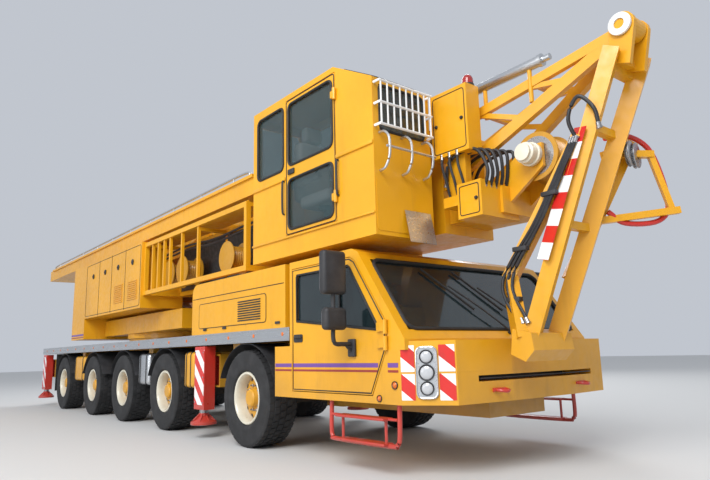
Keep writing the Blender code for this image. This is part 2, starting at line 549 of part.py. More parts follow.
def tower():
    """Telescopic tower lying forward from its foot pin: outer box, inner box and head frame."""
    pin = (TOWER_PIN_X, 0, TOWER_PIN_Z)
    base = box((TOWER_REAR, -TOWER_HALF, TOWER_LOW), (TOWER_FRONT, TOWER_HALF, TOWER_TOP))
    wall = TOWER_WALL
    hollow = box((TOWER_REAR + 0.75, -TOWER_HALF + wall, TOWER_LOW + wall),
                 (TOWER_FRONT + 0.1, TOWER_HALF - wall, TOWER_TOP - wall))
    adds = [
        rod((TOWER_PIN_X, -0.60, TOWER_PIN_Z), (TOWER_PIN_X, 0.60, TOWER_PIN_Z), TOWER_PIN_RADIUS, 24),
        rod((TOWER_PIN_X, -0.494, TOWER_PIN_Z), (TOWER_PIN_X, 0.494, TOWER_PIN_Z), 0.16, 24),
    ]
    make("tower_outer", "yellow", base, adds, [hollow], origin=pin)

    gap = wall + TOWER_SLIDE
    half, low, top = TOWER_HALF - gap, TOWER_LOW + wall + SEAT, TOWER_TOP - gap
    inner = box((INNER_REAR, -half, low), (INNER_FRONT, half, top))
    cheek = [(4.86, top - 0.05), (INNER_FRONT - 0.01, top - 0.05), (INNER_FRONT - 0.01, 3.10), (5.42, 3.34), (5.18, 3.34), (4.86, 2.95)]
    grow = []
    for side in (-1, 1):
        grow.append(outline(cheek, "y", *sorted((side * (JIB_HALF + 0.03), side * (half - 0.005)))))
        grow.append(beam((5.36, side * 0.335, 2.66), (HEAD_X - 0.02, side * 0.04, HEAD_Z - 0.02), 0.07, 0.11))
        grow.append(beam((5.40, side * 0.340, 3.24), (HEAD_X - 0.02, side * 0.045, HEAD_Z), 0.06, 0.09))
        for near, far in ((5.85, 6.35), (6.35, 6.80)):
            low_z = 2.66 + (HEAD_Z - 2.68) * (far - 5.36) / (HEAD_X - 5.38)
            top_z = 3.24 + (HEAD_Z - 3.24) * (near - 5.40) / (HEAD_X - 5.42)
            y_near = side * (0.34 - 0.295 * (near - 5.40) / (HEAD_X - 5.42))
            y_far = side * (0.335 - 0.285 * (far - 5.36) / (HEAD_X - 5.38))
            grow.append(beam((near, y_near, top_z), (far, y_far, low_z), 0.04, 0.05))
    grow.append(rod((HEAD_X, -0.088, HEAD_Z), (HEAD_X, 0.088, HEAD_Z), 0.105, 24))
    grow.append(rod((OPCAB_PIN_X, -half + 0.02, OPCAB_PIN_Z), (OPCAB_PIN_X, OPCAB_INNER_Y + SEAT, OPCAB_PIN_Z), 0.10, 24))
    grow.append(beam((5.9, -0.29, 3.36), (5.9, 0.29, 3.36), 0.05, 0.05))
    grow.append(beam((6.45, -0.20, 3.50), (6.45, 0.20, 3.50), 0.05, 0.05))
    hollow = box((INNER_REAR - 0.1, -half + INNER_WALL, low + INNER_WALL), (INNER_FRONT - 0.5, half - INNER_WALL, top - INNER_WALL))
    bores = [rod((JIB_PIN_X, -1, JIB_PIN_Z), (JIB_PIN_X, 1, JIB_PIN_Z), bore_radius(0.045, 20), 20),
             rod((HEAD_X, -1, HEAD_Z), (HEAD_X, 1, HEAD_Z), bore_radius(HEAD_PIN_RADIUS, 20), 20)]
    make("tower_inner", "yellow", inner, grow, [hollow] + bores, origin=pin)


def head_machinery():
    """Winch frame and cabinets on the tower's head, with the drum between its plates."""
    back = INNER_FRONT + SEAT
    base = box((back, -0.30, 2.30), (6.12, 0.30, 2.56))
    adds = [box((5.51, -0.575, 2.91), (5.98, -0.385, 3.58)), box((5.80, -0.575, 2.25), (6.09, -0.025, 2.59)),
            box((5.62, -0.50, 2.40), (5.86, -0.42, 3.05)), box((5.60, -0.55, 2.40), (5.85, -0.20, 2.50))]
    for side in (-1, 1):
        plate = [(5.90, 2.40), (6.10, 2.40), (DRUM_X + 0.10, DRUM_Z - 0.12), (DRUM_X + 0.10, DRUM_Z + 0.10),
                 (DRUM_X - 0.10, DRUM_Z + 0.10), (5.90, 2.62)]
        adds.append(outline(plate, "y", *sorted((side * 0.14, side * 0.18))))
    bore = rod((DRUM_X, -0.3, DRUM_Z), (DRUM_X, 0.3, DRUM_Z), bore_radius(0.05, 20), 20)
    make("head_machinery", "yellow", base, adds, [bore])
    drum = rod((DRUM_X, -0.134, DRUM_Z), (DRUM_X, 0.134, DRUM_Z), DRUM_RADIUS, 28)
    axle = rod((DRUM_X, -0.19, DRUM_Z), (DRUM_X, 0.19, DRUM_Z), 0.05, 20)
    make("winch_drum", "steel", drum, [axle], origin=(DRUM_X, 0, DRUM_Z))


def strut_frame():
    """Leaning strut that hangs from the head pin in front of the nose: two legs, knee arm and foot."""
    head = (HEAD_X, 0, HEAD_Z)
    base = outline([(FOOT_X - 0.09, 0.99), (FOOT_X + 0.05, 0.93), (FOOT_X + 0.14, 1.02), (FOOT_X + 0.12, 1.16),
                    (FOOT_X - 0.06, 1.20)], "y", -0.66, -0.08)
    left_foot, right_foot = (FOOT_X + 0.02, -0.54, 1.08), (FOOT_X + 0.02, -0.18, 1.08)
    left_head, right_head = (HEAD_X - 0.08, -0.185, HEAD_Z - 0.20), (HEAD_X - 0.05, 0.28, HEAD_Z - 0.18)
    knee = (6.26, -0.47, 1.64)
    adds = [
        beam(left_foot, left_head, 0.13, 0.13),
        beam(right_foot, right_head, 0.16, 0.15),
        beam((FOOT_X - 0.02, -0.60, 1.10), knee, 0.10, 0.17),
        beam(knee, (6.98, -0.34, 2.78), 0.09, 0.12),
        beam((6.62, -0.12, 1.62), (7.02, 0.44, 2.86), 0.10, 0.10),
        beam((6.94, 0.10, 2.70), (7.00, 0.46, 2.80), 0.08, 0.08),
        beam((6.78, -0.42, 2.05), (6.80, 0.06, 2.05), 0.07, 0.07),
        beam((7.04, -0.24, 2.85), (7.04, 0.22, 2.85), 0.07, 0.07),
        beam((7.20, -0.20, 3.36), (7.20, 0.26, 3.36), 0.08, 0.08),
        beam((6.80, 0.06, 2.12), (7.30, 0.62, 2.20), 0.06, 0.06),
        beam((6.98, 0.20, 2.72), (7.18, 0.50, 2.72), 0.06, 0.06),
        beam((7.16, 0.48, 2.74), (7.26, 0.58, 2.18), 0.05, 0.05),
    ]
    for side in (-1, 1):
        y = sorted((side * 0.100, side * 0.145))
        adds.append(outline(arc((HEAD_X, HEAD_Z), 0.115, -20, 200, 10) + [(HEAD_X - 0.14, HEAD_Z - 0.30), (HEAD_X + 0.04, HEAD_Z - 0.36)], "y", *y))
    adds.append(beam((HEAD_X - 0.09, -0.12, HEAD_Z - 0.27), (HEAD_X - 0.06, 0.30, HEAD_Z - 0.27), 0.08, 0.08))
    adds.append(rod((HEAD_X, -0.17, HEAD_Z), (HEAD_X, 0.17, HEAD_Z), HEAD_PIN_RADIUS, 20))
    make("strut_frame", "yellow", base, adds, origin=head)


def jib():
    """Jib folded back over the tower: a lattice inner part, and an outer part folded beside it."""
    pin = (JIB_PIN_X, 0, JIB_PIN_Z)
    back = JIB_FOLD_X + 0.01
    front = JIB_PIN_X - 0.16
    bar = 0.08
    base = box((back, -JIB_HALF, JIB_LOW), (front, -JIB_HALF + bar, JIB_LOW + bar))
    adds = [box((back + 0.001, JIB_HALF - bar, JIB_LOW), (front - 0.001, JIB_HALF, JIB_LOW + bar)),
            box((back + 0.001, -JIB_HALF, JIB_TOP - bar), (front - 0.3, -JIB_HALF + bar, JIB_TOP)),
            box((back + 0.001, JIB_HALF - bar, JIB_TOP - bar), (front - 0.3, JIB_HALF, JIB_TOP))]
    bays = 10
    pitch = (front - 0.36 - back) / bays
    for i in range(bays + 1):
        x = back + 0.03 + pitch * i
        adds.append(box((x - 0.025, -JIB_HALF + 0.004, JIB_LOW + 0.004), (x + 0.025, JIB_HALF - 0.004, JIB_TOP - 0.004)))
    for side in (-1, 1):
        y = side * (JIB_HALF - bar / 2)
        for i in range(bays):
            x = back + 0.03 + pitch * i
            ends = (JIB_LOW + 0.05, JIB_TOP - 0.05) if i % 2 else (JIB_TOP - 0.05, JIB_LOW + 0.05)
            adds.append(beam((x, y, ends[0]), (x + pitch, y, ends[1]), 0.04, 0.05))
        lug = [(front - 0.50, JIB_LOW + 0.003), (front, JIB_LOW + 0.003), (JIB_PIN_X + 0.07, JIB_PIN_Z - 0.08),
               (JIB_PIN_X + 0.10, JIB_PIN_Z), (JIB_PIN_X + 0.07, JIB_PIN_Z + 0.08), (front - 0.34, JIB_TOP - 0.003), (front - 0.50, JIB_TOP - 0.003)]
        adds.append(outline(lug, "y", *sorted((side * (JIB_HALF - 0.07), side * (JIB_HALF - 0.002)))))
    adds.append(rod((JIB_PIN_X, -0.385, JIB_PIN_Z), (JIB_PIN_X, 0.385, JIB_PIN_Z), 0.045, 20))
    lug_z = JIB_LOW + 0.06
    adds.append(box((JIB_FOLD_X + 0.02, JIB_FOLD_Y, lug_z), (JIB_FOLD_X + 0.14, -JIB_HALF + 0.03, lug_z + 0.06)))
    adds.append(rod((JIB_FOLD_X, JIB_FOLD_Y, lug_z), (JIB_FOLD_X, JIB_FOLD_Y, lug_z + 0.06), 0.08, 20))
    adds.append(rod((JIB_FOLD_X, JIB_FOLD_Y, lug_z + 0.02), (JIB_FOLD_X, JIB_FOLD_Y, lug_z + 0.14), 0.03, 16))
    make("jib_inner", "yellow", base, adds, origin=pin)

    inner_y = 2 * JIB_FOLD_Y + JIB_HALF
    outer_y = inner_y - OUTER_WIDE
    arm = box((back, outer_y, JIB_LOW), (OUTER_FRONT, inner_y, OUTER_TOP))
    lug_low = lug_z + 0.06 + SEAT
    grow = [box((JIB_FOLD_X + 0.02, inner_y - 0.03, lug_low), (JIB_FOLD_X + 0.14, JIB_FOLD_Y, lug_low + 0.06)),
            rod((JIB_FOLD_X, JIB_FOLD_Y, lug_low), (JIB_FOLD_X, JIB_FOLD_Y, lug_low + 0.06), 0.08, 20),
            box((back + 0.3, outer_y - 0.03, OUTER_TOP - 0.03), (OUTER_FRONT - 0.02, inner_y - 0.02, OUTER_TOP + 0.01))]
    hollow = [box((x + 0.10, outer_y + 0.04, JIB_LOW + 0.04), (x + 1.50, inner_y + 0.5, OUTER_TOP - 0.05))
              for x in (-6.9, -5.2, -3.5, -1.8, -0.1, 1.5)]
    hollow.append(rod((JIB_FOLD_X, JIB_FOLD_Y, lug_low - 0.1), (JIB_FOLD_X, JIB_FOLD_Y, lug_low + 0.2),
                      bore_radius(0.03, 16), 16))
    make("jib_outer", "yellow", arm, grow, hollow, origin=(JIB_FOLD_X, JIB_FOLD_Y, JIB_LOW))


def hook_block():
    """Hook block drawn up into the jib: side plates and sheave pin above a flange, hook below it."""
    x, top = HOOK_X, JIB_LOW - SEAT
    base = outline([(x - 0.16, top - 0.01), (x + 0.16, top - 0.01), (x + 0.20, top + 0.20), (x + 0.10, top + 0.34),
                    (x - 0.10, top + 0.34), (x - 0.20, top + 0.20)], "y", -0.09, 0.09)
    hook = arc((x, top - 0.078), 0.065, 90, -150, 12) + arc((x, top - 0.078), 0.032, -150, 90, 10)
    adds = [box((x - 0.15, -0.24, top - 0.02), (x + 0.15, 0.24, top)), outline(hook, "y", -0.025, 0.025),
            rod((x, -0.15, top + 0.20), (x, 0.15, top + 0.20), 0.035, 16)]
    make("hook_block", "red", base, adds, origin=(x, 0, top))


def operator_cab():
    """Tall operator's cab at the tower's right side, hollow, with a door in its outer wall."""
    side_view = [(OPCAB_REAR, OPCAB_LOW), (OPCAB_FRONT, OPCAB_LOW), (OPCAB_FRONT, 3.60), (4.92, OPCAB_TOP), (OPCAB_REAR, OPCAB_TOP)]
    wall = OPCAB_WALL
    inside = [(OPCAB_REAR + wall, OPCAB_LOW + wall), (OPCAB_FRONT - wall, OPCAB_LOW + wall), (OPCAB_FRONT - wall, 3.57),
              (4.90, OPCAB_TOP - wall), (OPCAB_REAR + wall, OPCAB_TOP - wall)]
    base = outline(side_view, "y", -HALF_WIDTH, OPCAB_INNER_Y)
    room = outline(inside, "y", -HALF_WIDTH + wall, OPCAB_INNER_Y - wall)

    def pane(x0, x1, z0, z1, bend=0.07):
        return (arc((x1 - bend, z1 - bend), bend, 0, 90, 3) + arc((x0 + bend, z1 - bend), bend, 90, 180, 3)
                + arc((x0 + bend, z0 + bend), bend, 180, 270, 3) + arc((x1 - bend, z0 + bend), bend, 270, 360, 3))

    door = (4.03, 4.94, 2.31, 3.86)
    skin = (-HALF_WIDTH - 0.05, -HALF_WIDTH + wall + 0.02)
    cuts = [room,
            outline(pane(3.40, 3.98, 3.06, 3.82), "y", *skin),
            box((door[0] - RUN, skin[0], door[2] - RUN), (door[1] + RUN, skin[1], door[3] + RUN)),
            box((OPCAB_FRONT - 0.1, -HALF_WIDTH + 0.08, 3.08), (OPCAB_FRONT + 0.1, OPCAB_INNER_Y - 0.08, 3.54)),
            box((3.50, OPCAB_INNER_Y - wall - 0.02, 3.06), (4.90, OPCAB_INNER_Y + 0.05, 3.78)),
            box((OPCAB_REAR - 0.1, -HALF_WIDTH + 0.10, 3.06), (OPCAB_REAR + 0.1, OPCAB_INNER_Y - 0.10, 3.78))]
    make("operator_cab", "yellow", base, cuts=cuts, origin=(OPCAB_PIN_X, 0, OPCAB_PIN_Z))
    leaf = box((door[0], -HALF_WIDTH, door[2]), (door[1], -HALF_WIDTH + wall, door[3]))
    panes = [outline(pane(4.07, 4.90, 3.08, 3.81), "y", *skin), outline(pane(4.07, 4.90, 2.36, 2.93), "y", *skin)]
    hinge, barrels = hinge_barrels(door[1], -1, (2.55, 3.62))
    make("operator_cab_door", "yellow", leaf, barrels, panes, origin=hinge)


chassis()
driveline()
deck()
engine_housing()
road_cab()
front_bumper()
road_cab_interior()
doors()
running_gear()
outriggers()
turntable()
counterweight()
machinery_house()
service_bay()
tower()
head_machinery()
strut_frame()
jib()
hook_block()
operator_cab()
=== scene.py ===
"""Finish and fittings of a five-axle mobile tower crane, folded for the road.

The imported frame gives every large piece; the functions below add the surfaces that a frame leaves
out: tyres with tread, wheel discs, glass, lamps, guards, rails, hoses, steps and stripes.
Units are metres, +X forward, +Y to the crane's left, +Z up.
"""
import json
import math

import bmesh
import bpy
import numpy as np
from mathutils import Matrix, Vector


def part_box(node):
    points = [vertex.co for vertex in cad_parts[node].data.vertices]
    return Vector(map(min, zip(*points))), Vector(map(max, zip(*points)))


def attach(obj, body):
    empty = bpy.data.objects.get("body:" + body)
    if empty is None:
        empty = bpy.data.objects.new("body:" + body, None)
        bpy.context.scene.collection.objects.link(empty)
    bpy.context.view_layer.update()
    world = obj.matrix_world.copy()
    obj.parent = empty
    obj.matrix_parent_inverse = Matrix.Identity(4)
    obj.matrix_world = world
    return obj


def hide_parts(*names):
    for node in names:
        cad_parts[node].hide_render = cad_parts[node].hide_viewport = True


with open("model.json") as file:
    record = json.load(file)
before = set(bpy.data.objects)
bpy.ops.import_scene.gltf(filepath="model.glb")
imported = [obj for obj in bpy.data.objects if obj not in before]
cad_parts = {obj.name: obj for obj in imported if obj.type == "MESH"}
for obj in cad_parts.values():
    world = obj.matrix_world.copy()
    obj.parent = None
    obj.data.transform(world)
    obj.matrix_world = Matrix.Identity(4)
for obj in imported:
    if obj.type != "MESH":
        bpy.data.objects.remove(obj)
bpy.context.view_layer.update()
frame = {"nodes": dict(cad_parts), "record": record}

SIDES = (("right", -1), ("left", 1))
AXLES = ("1", "2", "3", "4", "5")


# ---- surfaces ----------------------------------------------------------------------------
def grid_faces(rows, columns, close_rows=False, close_columns=False):
    """Quads between neighbours of a rows by columns grid, wrapping where asked."""
    down = np.arange(rows if close_rows else rows - 1)
    across = np.arange(columns if close_columns else columns - 1)
    i, j = np.meshgrid(down, across, indexing="ij")
    i2, j2 = (i + 1) % rows, (j + 1) % columns
    return np.stack((i * columns + j, i * columns + j2, i2 * columns + j2, i2 * columns + j), -1).reshape(-1, 4)


def facing(normal):
    """Rotation whose third column is the normal and whose others lie across it."""
    z = np.asarray(normal, float) / np.linalg.norm(normal)
    x = np.cross((0.0, 0.0, 1.0), z)
    x = np.array((1.0, 0.0, 0.0)) if np.linalg.norm(x) < 1e-6 else x / np.linalg.norm(x)
    return np.stack((x, np.cross(z, x), z), 1)


def lathe(profile, centre, normal, around=32):
    """Turned form: each (radius, height) of the profile swept in a circle about the normal.
    Point(i, t) = centre + radius_i (cos t, sin t) + height_i along the normal; ends are closed by fans."""
    profile = np.asarray(profile, float)
    turn = np.linspace(0, 2 * math.pi, around, endpoint=False)
    radius, height = profile[:, :1], profile[:, 1:]
    flat = np.stack((radius * np.cos(turn), radius * np.sin(turn), height + 0 * turn), -1).reshape(-1, 3)
    faces = [list(face) for face in grid_faces(len(profile), around, close_columns=True)]
    faces.append(list(range(around))[::-1])
    faces.append(list(range((len(profile) - 1) * around, len(profile) * around)))
    return flat @ facing(normal).T + np.asarray(centre, float), faces


def ring(profile, centre, normal, around=48):
    """Closed turned ring: a closed profile of (radius, height) swept about the normal."""
    profile = np.asarray(profile, float)
    turn = np.linspace(0, 2 * math.pi, around, endpoint=False)
    radius, height = profile[:, :1], profile[:, 1:]
    flat = np.stack((radius * np.cos(turn), radius * np.sin(turn), height + 0 * turn), -1).reshape(-1, 3)
    faces = grid_faces(len(profile), around, close_rows=True, close_columns=True)
    return flat @ facing(normal).T + np.asarray(centre, float), [list(face) for face in faces]


def smooth_path(points, steps=8):
    """Catmull-Rom curve through the points: each span is a cubic of its four nearest points."""
    p = np.asarray(points, float)
    p = np.vstack((2 * p[0] - p[1], p, 2 * p[-1] - p[-2]))
    t = np.linspace(0, 1, steps, endpoint=False)[:, None]
    spans = [0.5 * (2 * p[i + 1] + (p[i + 2] - p[i]) * t
                    + (2 * p[i] - 5 * p[i + 1] + 4 * p[i + 2] - p[i + 3]) * t ** 2
                    + (3 * p[i + 1] - p[i] - 3 * p[i + 2] + p[i + 3]) * t ** 3) for i in range(len(p) - 3)]
    return np.vstack(spans + [p[-2:-1]])


def tube(path, radius, around=10):
    """Round section carried along a path, with its frame kept level, and flat ends."""
    path = np.asarray(path, float)
    along = np.gradient(path, axis=0)
    along /= np.linalg.norm(along, axis=1)[:, None]
    guide = np.where(np.abs(along[:, 2:3]) > 0.9, (1.0, 0.0, 0.0), (0.0, 0.0, 1.0))
    side = np.cross(along, guide)
    side /= np.linalg.norm(side, axis=1)[:, None]
    up = np.cross(side, along)
    turn = np.linspace(0, 2 * math.pi, around, endpoint=False)
    circle = np.cos(turn)[None, :, None] * side[:, None] + np.sin(turn)[None, :, None] * up[:, None]
    points = (path[:, None] + radius * circle).reshape(-1, 3)
    faces = [list(face) for face in grid_faces(len(path), around, close_columns=True)]
    faces.append(list(range(around))[::-1])
    faces.append(list(range((len(path) - 1) * around, len(path) * around)))
    return points, faces


def cushioned_block(low, high, bend=0.01, arc=2):
    """Block with rounded edges: a unit cube's corner grid pushed out to a rounded box.
    Each direction on a sphere is scaled by bend and added to the nearest corner of the inner box."""
    low, high = np.asarray(low, float), np.asarray(high, float)
    bend = min(bend, float((high - low).min()) / 2.001)
    u = np.concatenate((np.linspace(0, 90, arc + 1), np.linspace(90, 180, arc + 1),
                        np.linspace(180, 270, arc + 1), np.linspace(270, 360, arc + 1)))
    sx = np.repeat((1, -1, -1, 1), arc + 1)
    sy = np.repeat((1, 1, -1, -1), arc + 1)
    v = np.concatenate((np.linspace(-90, 0, arc + 1), np.linspace(0, 90, arc + 1)))
    sz = np.repeat((-1, 1), arc + 1)
    u, v = np.radians(u), np.radians(v)
    middle, half = (low + high) / 2, (high - low) / 2 - bend
    x = middle[0] + half[0] * sx + bend * np.cos(v)[:, None] * np.cos(u)
    y = middle[1] + half[1] * sy + bend * np.cos(v)[:, None] * np.sin(u)
    z = middle[2] + half[2] * sz[:, None] + bend * np.sin(v)[:, None] + 0 * u
    points = np.stack((x, y, z), -1).reshape(-1, 3)
    rows, columns = len(v), len(u)
    faces = [list(face) for face in grid_faces(rows, columns, close_columns=True)]
    faces.append(list(range(columns))[::-1])
    faces.append(list(range((rows - 1) * columns, rows * columns)))
    return points, faces


def plate(corners, thickness, normal):
    """Flat outline given a thickness along its normal."""
    corners = np.asarray(corners, float)
    count = len(corners)
    push = np.asarray(normal, float) * thickness
    points = np.vstack((corners, corners + push))
    faces = [list(range(count))[::-1], list(range(count, 2 * count))]
    faces += [[i, (i + 1) % count, count + (i + 1) % count, count + i] for i in range(count)]
    return points, faces


def rounded_outline(u0, u1, v0, v1, bend, steps=5):
    """Rectangle with round corners, as (u, v) points."""
    corners = ((u1 - bend, v1 - bend, 0), (u0 + bend, v1 - bend, 90), (u0 + bend, v0 + bend, 180), (u1 - bend, v0 + bend, 270))
    return [(u + bend * math.cos(math.radians(a)), v + bend * math.sin(math.radians(a)))
            for u, v, start in corners for a in np.linspace(start, start + 90, steps)]


def gather(shapes):
    """Several (points, faces) pairs as one."""
    points, faces, base = [], [], 0
    for shape_points, shape_faces in shapes:
        points.append(np.asarray(shape_points, float))
        faces += [[index + base for index in face] for face in shape_faces]
        base += len(shape_points)
    return np.vstack(points), faces


def piece(name, shapes, material, body, smooth=True):
    """A finished piece at the origin, made of the shapes, riding on a body."""
    points, faces = gather(shapes if isinstance(shapes, list) else [shapes])
    mesh = bpy.data.meshes.new(name)
    mesh.from_pydata(points.tolist(), [], faces)
    mesh.validate()
    mesh.update()
    if smooth:
        mesh.shade_smooth()
        mesh.set_sharp_from_angle(angle=math.radians(35))
    work = bmesh.new()
    work.from_mesh(mesh)
    bmesh.ops.recalc_face_normals(work, faces=work.faces)
    work.to_mesh(mesh)
    work.free()
    obj = bpy.data.objects.new(name, mesh)
    bpy.context.scene.collection.objects.link(obj)
    obj.data.materials.append(material)
    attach(obj, body)
    return obj


# ---- materials ---------------------------------------------------------------------------
def base_material(name, rough, metal=0.0, coat=0.0):
    """Material with a Principled shader; returns the material, its nodes, links and shader."""
    material = bpy.data.materials.new(name)
    material.use_nodes = True
    tree = material.node_tree
    shader = tree.nodes["Principled BSDF"]
    shader.inputs["Roughness"].default_value = rough
    shader.inputs["Metallic"].default_value = metal
    shader.inputs["Coat Weight"].default_value = coat
    shader.inputs["Coat Roughness"].default_value = 0.15
    return material, tree.nodes, tree.links, shader


def noise(nodes, links, scale, detail=3.0, stretch=(1, 1, 1)):
    """Noise over Object coordinates."""
    where = nodes.new("ShaderNodeTexCoord")
    turn = nodes.new("ShaderNodeMapping")
    turn.inputs["Scale"].default_value = stretch
    made = nodes.new("ShaderNodeTexNoise")
    made.inputs["Scale"].default_value = scale
    made.inputs["Detail"].default_value = detail
    links.new(where.outputs["Object"], turn.inputs["Vector"])
    links.new(turn.outputs["Vector"], made.inputs["Vector"])
    return made.outputs["Fac"]


def remap(nodes, links, value, low, high, to_low, to_high):
    made = nodes.new("ShaderNodeMapRange")
    made.inputs["From Min"].default_value = low
    made.inputs["From Max"].default_value = high
    made.inputs["To Min"].default_value = to_low
    made.inputs["To Max"].default_value = to_high
    links.new(value, made.inputs["Value"])
    return made.outputs["Result"]


def blend_colours(nodes, links, amount, first, second):
    """Mix of two colours; either may be a socket."""
    made = nodes.new("ShaderNodeMix")
    made.data_type = "RGBA"
    links.new(amount, made.inputs["Factor"])
    for colour, slot in ((first, "A"), (second, "B")):
        socket = [s for s in made.inputs if s.name == slot and s.type == "RGBA"][0]
        if isinstance(colour, tuple):
            socket.default_value = (*colour, 1.0)
        else:
            links.new(colour, socket)
    return [s for s in made.outputs if s.type == "RGBA"][0]


def bump(nodes, links, shader, height, strength, distance):
    made = nodes.new("ShaderNodeBump")
    made.inputs["Strength"].default_value = strength
    made.inputs["Distance"].default_value = distance
    links.new(height, made.inputs["Height"])
    links.new(made.outputs["Normal"], shader.inputs["Normal"])


def painted(name, colour, rough=0.32, coat=0.35, darken_low=True, metal=0.0):
    """Sprayed paint: slight colour drift, rain streaks, orange peel, and dark brown noise patches that grow stronger
    towards the bottom.
    """
    material, nodes, links, shader = base_material(name, rough, metal, coat)
    drift = remap(nodes, links, noise(nodes, links, 1.3), 0.3, 0.7, 0.0, 1.0)
    darker = tuple(c * 0.86 for c in colour)
    tone = blend_colours(nodes, links, drift, colour, darker)
    streak = remap(nodes, links, noise(nodes, links, 9.0, 4.0, (1, 1, 0.12)), 0.58, 0.80, 0.0, 0.35)
    tone = blend_colours(nodes, links, streak, tone, tuple(c * 0.55 for c in colour))
    if darken_low:
        # Darker towards the bottom: dark brown noise patches at up to half strength below 0.2 m, fading to none at 1.3
        # m up.
        where = nodes.new("ShaderNodeTexCoord")
        split = nodes.new("ShaderNodeSeparateXYZ")
        links.new(where.outputs["Object"], split.inputs["Vector"])
        low = remap(nodes, links, split.outputs["Z"], 0.2, 1.3, 0.5, 0.0)
        patch = nodes.new("ShaderNodeMath")
        patch.operation = "MULTIPLY"
        links.new(low, patch.inputs[0])
        links.new(noise(nodes, links, 6.0, 5.0), patch.inputs[1])
        tone = blend_colours(nodes, links, patch.outputs[0], tone, (0.16, 0.12, 0.08))
    links.new(tone, shader.inputs["Base Color"])
    links.new(remap(nodes, links, noise(nodes, links, 14.0, 4.0), 0.3, 0.7, rough * 0.8, rough * 1.5), shader.inputs["Roughness"])
    bump(nodes, links, shader, noise(nodes, links, 260.0, 2.0), 0.06, 0.002)
    return material


def rubber_like(name, colour, rough):
    """Moulded rubber or plastic: fine grain with dusty patches."""
    material, nodes, links, shader = base_material(name, rough)
    dust = remap(nodes, links, noise(nodes, links, 7.0, 5.0), 0.45, 0.75, 0.0, 0.5)
    links.new(blend_colours(nodes, links, dust, colour, tuple(c * 2.2 + 0.01 for c in colour)), shader.inputs["Base Color"])
    bump(nodes, links, shader, noise(nodes, links, 400.0, 3.0), 0.25, 0.002)
    return material


def metal_like(name, colour, rough, stretch=(1, 1, 1)):
    """Bare metal with brushing along one way."""
    material, nodes, links, shader = base_material(name, rough, 0.9)
    brush = noise(nodes, links, 60.0, 4.0, stretch)
    links.new(blend_colours(nodes, links, brush, colour, tuple(c * 0.7 for c in colour)), shader.inputs["Base Color"])
    links.new(remap(nodes, links, brush, 0.3, 0.7, rough * 0.7, rough * 1.4), shader.inputs["Roughness"])
    return material


def glass_like(name, colour, rough=0.04, cover=0.82):
    """Tinted pane, dark and glossy, with faint dust."""
    material, nodes, links, shader = base_material(name, rough, 0.0, 0.6)
    dust = remap(nodes, links, noise(nodes, links, 5.0, 5.0), 0.4, 0.8, 0.0, 0.25)
    links.new(blend_colours(nodes, links, dust, colour, tuple(c * 1.6 + 0.01 for c in colour)), shader.inputs["Base Color"])
    shader.inputs["Alpha"].default_value = cover
    return material


def banded(name, across, width, first, second, rough=0.35):
    """Two colours in bands: the sine of the distance along a direction picks one or the other."""
    material, nodes, links, shader = base_material(name, rough, 0.0, 0.3)
    where = nodes.new("ShaderNodeTexCoord")
    dot = nodes.new("ShaderNodeVectorMath")
    dot.operation = "DOT_PRODUCT"
    dot.inputs[1].default_value = tuple(c * math.pi / width for c in across)
    wave = nodes.new("ShaderNodeMath")
    wave.operation = "SINE"
    links.new(where.outputs["Object"], dot.inputs[0])
    links.new(dot.outputs["Value"], wave.inputs[0])
    pick = remap(nodes, links, wave.outputs[0], -0.02, 0.02, 0.0, 1.0)
    clean = blend_colours(nodes, links, pick, first, second)
    grime = remap(nodes, links, noise(nodes, links, 8.0, 5.0), 0.5, 0.8, 0.0, 0.3)
    links.new(blend_colours(nodes, links, grime, clean, (0.10, 0.08, 0.06)), shader.inputs["Base Color"])
    return material


YELLOW = (0.78, 0.37, 0.006)
yellow = painted("yellow_paint_finish", YELLOW, 0.36, 0.2)
amber_yellow = painted("frame_paint_finish", (0.55, 0.27, 0.012), 0.45)
black_paint = painted("black_paint_finish", (0.03, 0.03, 0.03), 0.5, 0.1)
red_paint = painted("red_paint_finish", (0.60, 0.025, 0.015))
cream_paint = painted("cream_paint_finish", (0.80, 0.76, 0.62))
white_paint = painted("white_paint_finish", (0.82, 0.82, 0.80), 0.35, 0.3, False)
purple_band = painted("purple_band_finish", (0.16, 0.06, 0.30), 0.35, 0.3, False)
maroon_band = painted("maroon_band_finish", (0.30, 0.03, 0.02), 0.35, 0.3, False)
tyre_rubber = rubber_like("tyre_rubber_finish", (0.018, 0.018, 0.019), 0.85)
seal_rubber = rubber_like("seal_rubber_finish", (0.012, 0.012, 0.012), 0.6)
hose_rubber = rubber_like("hose_rubber_finish", (0.014, 0.014, 0.016), 0.42)
black_plastic = rubber_like("black_plastic_finish", (0.022, 0.022, 0.024), 0.55)
aluminium = metal_like("aluminium_finish", (0.66, 0.68, 0.70), 0.32, (0.05, 1, 1))
steel = metal_like("steel_finish", (0.42, 0.42, 0.43), 0.3, (1, 0.1, 1))
chrome = metal_like("chrome_finish", (0.75, 0.76, 0.78), 0.12)
dark_glass = glass_like("tinted_glass_finish", (0.012, 0.022, 0.025))
teal_glass = glass_like("teal_glass_finish", (0.03, 0.065, 0.07), 0.04, 0.5)
lamp_lens = glass_like("lamp_lens_finish", (0.55, 0.56, 0.58), 0.08)
amber_lens = glass_like("amber_lens_finish", (0.75, 0.16, 0.01), 0.1)
red_lens = glass_like("red_lens_finish", (0.35, 0.015, 0.01), 0.1)
RED, WHITE = (0.62, 0.02, 0.015), (0.85, 0.85, 0.83)
leg_bands = banded("leg_warning_bands", (0.7, 0, 0.7), 0.10, RED, WHITE)
nose_bands = banded("nose_warning_bands", (0.25, 0.66, 0.70), 0.095, RED, WHITE)
nose_bands_left = banded("nose_warning_bands_left", (0.25, -0.66, 0.70), 0.095, RED, WHITE)
strut_bands = banded("strut_warning_bands", (0.30, 0.25, 0.92), 0.145, RED, WHITE)

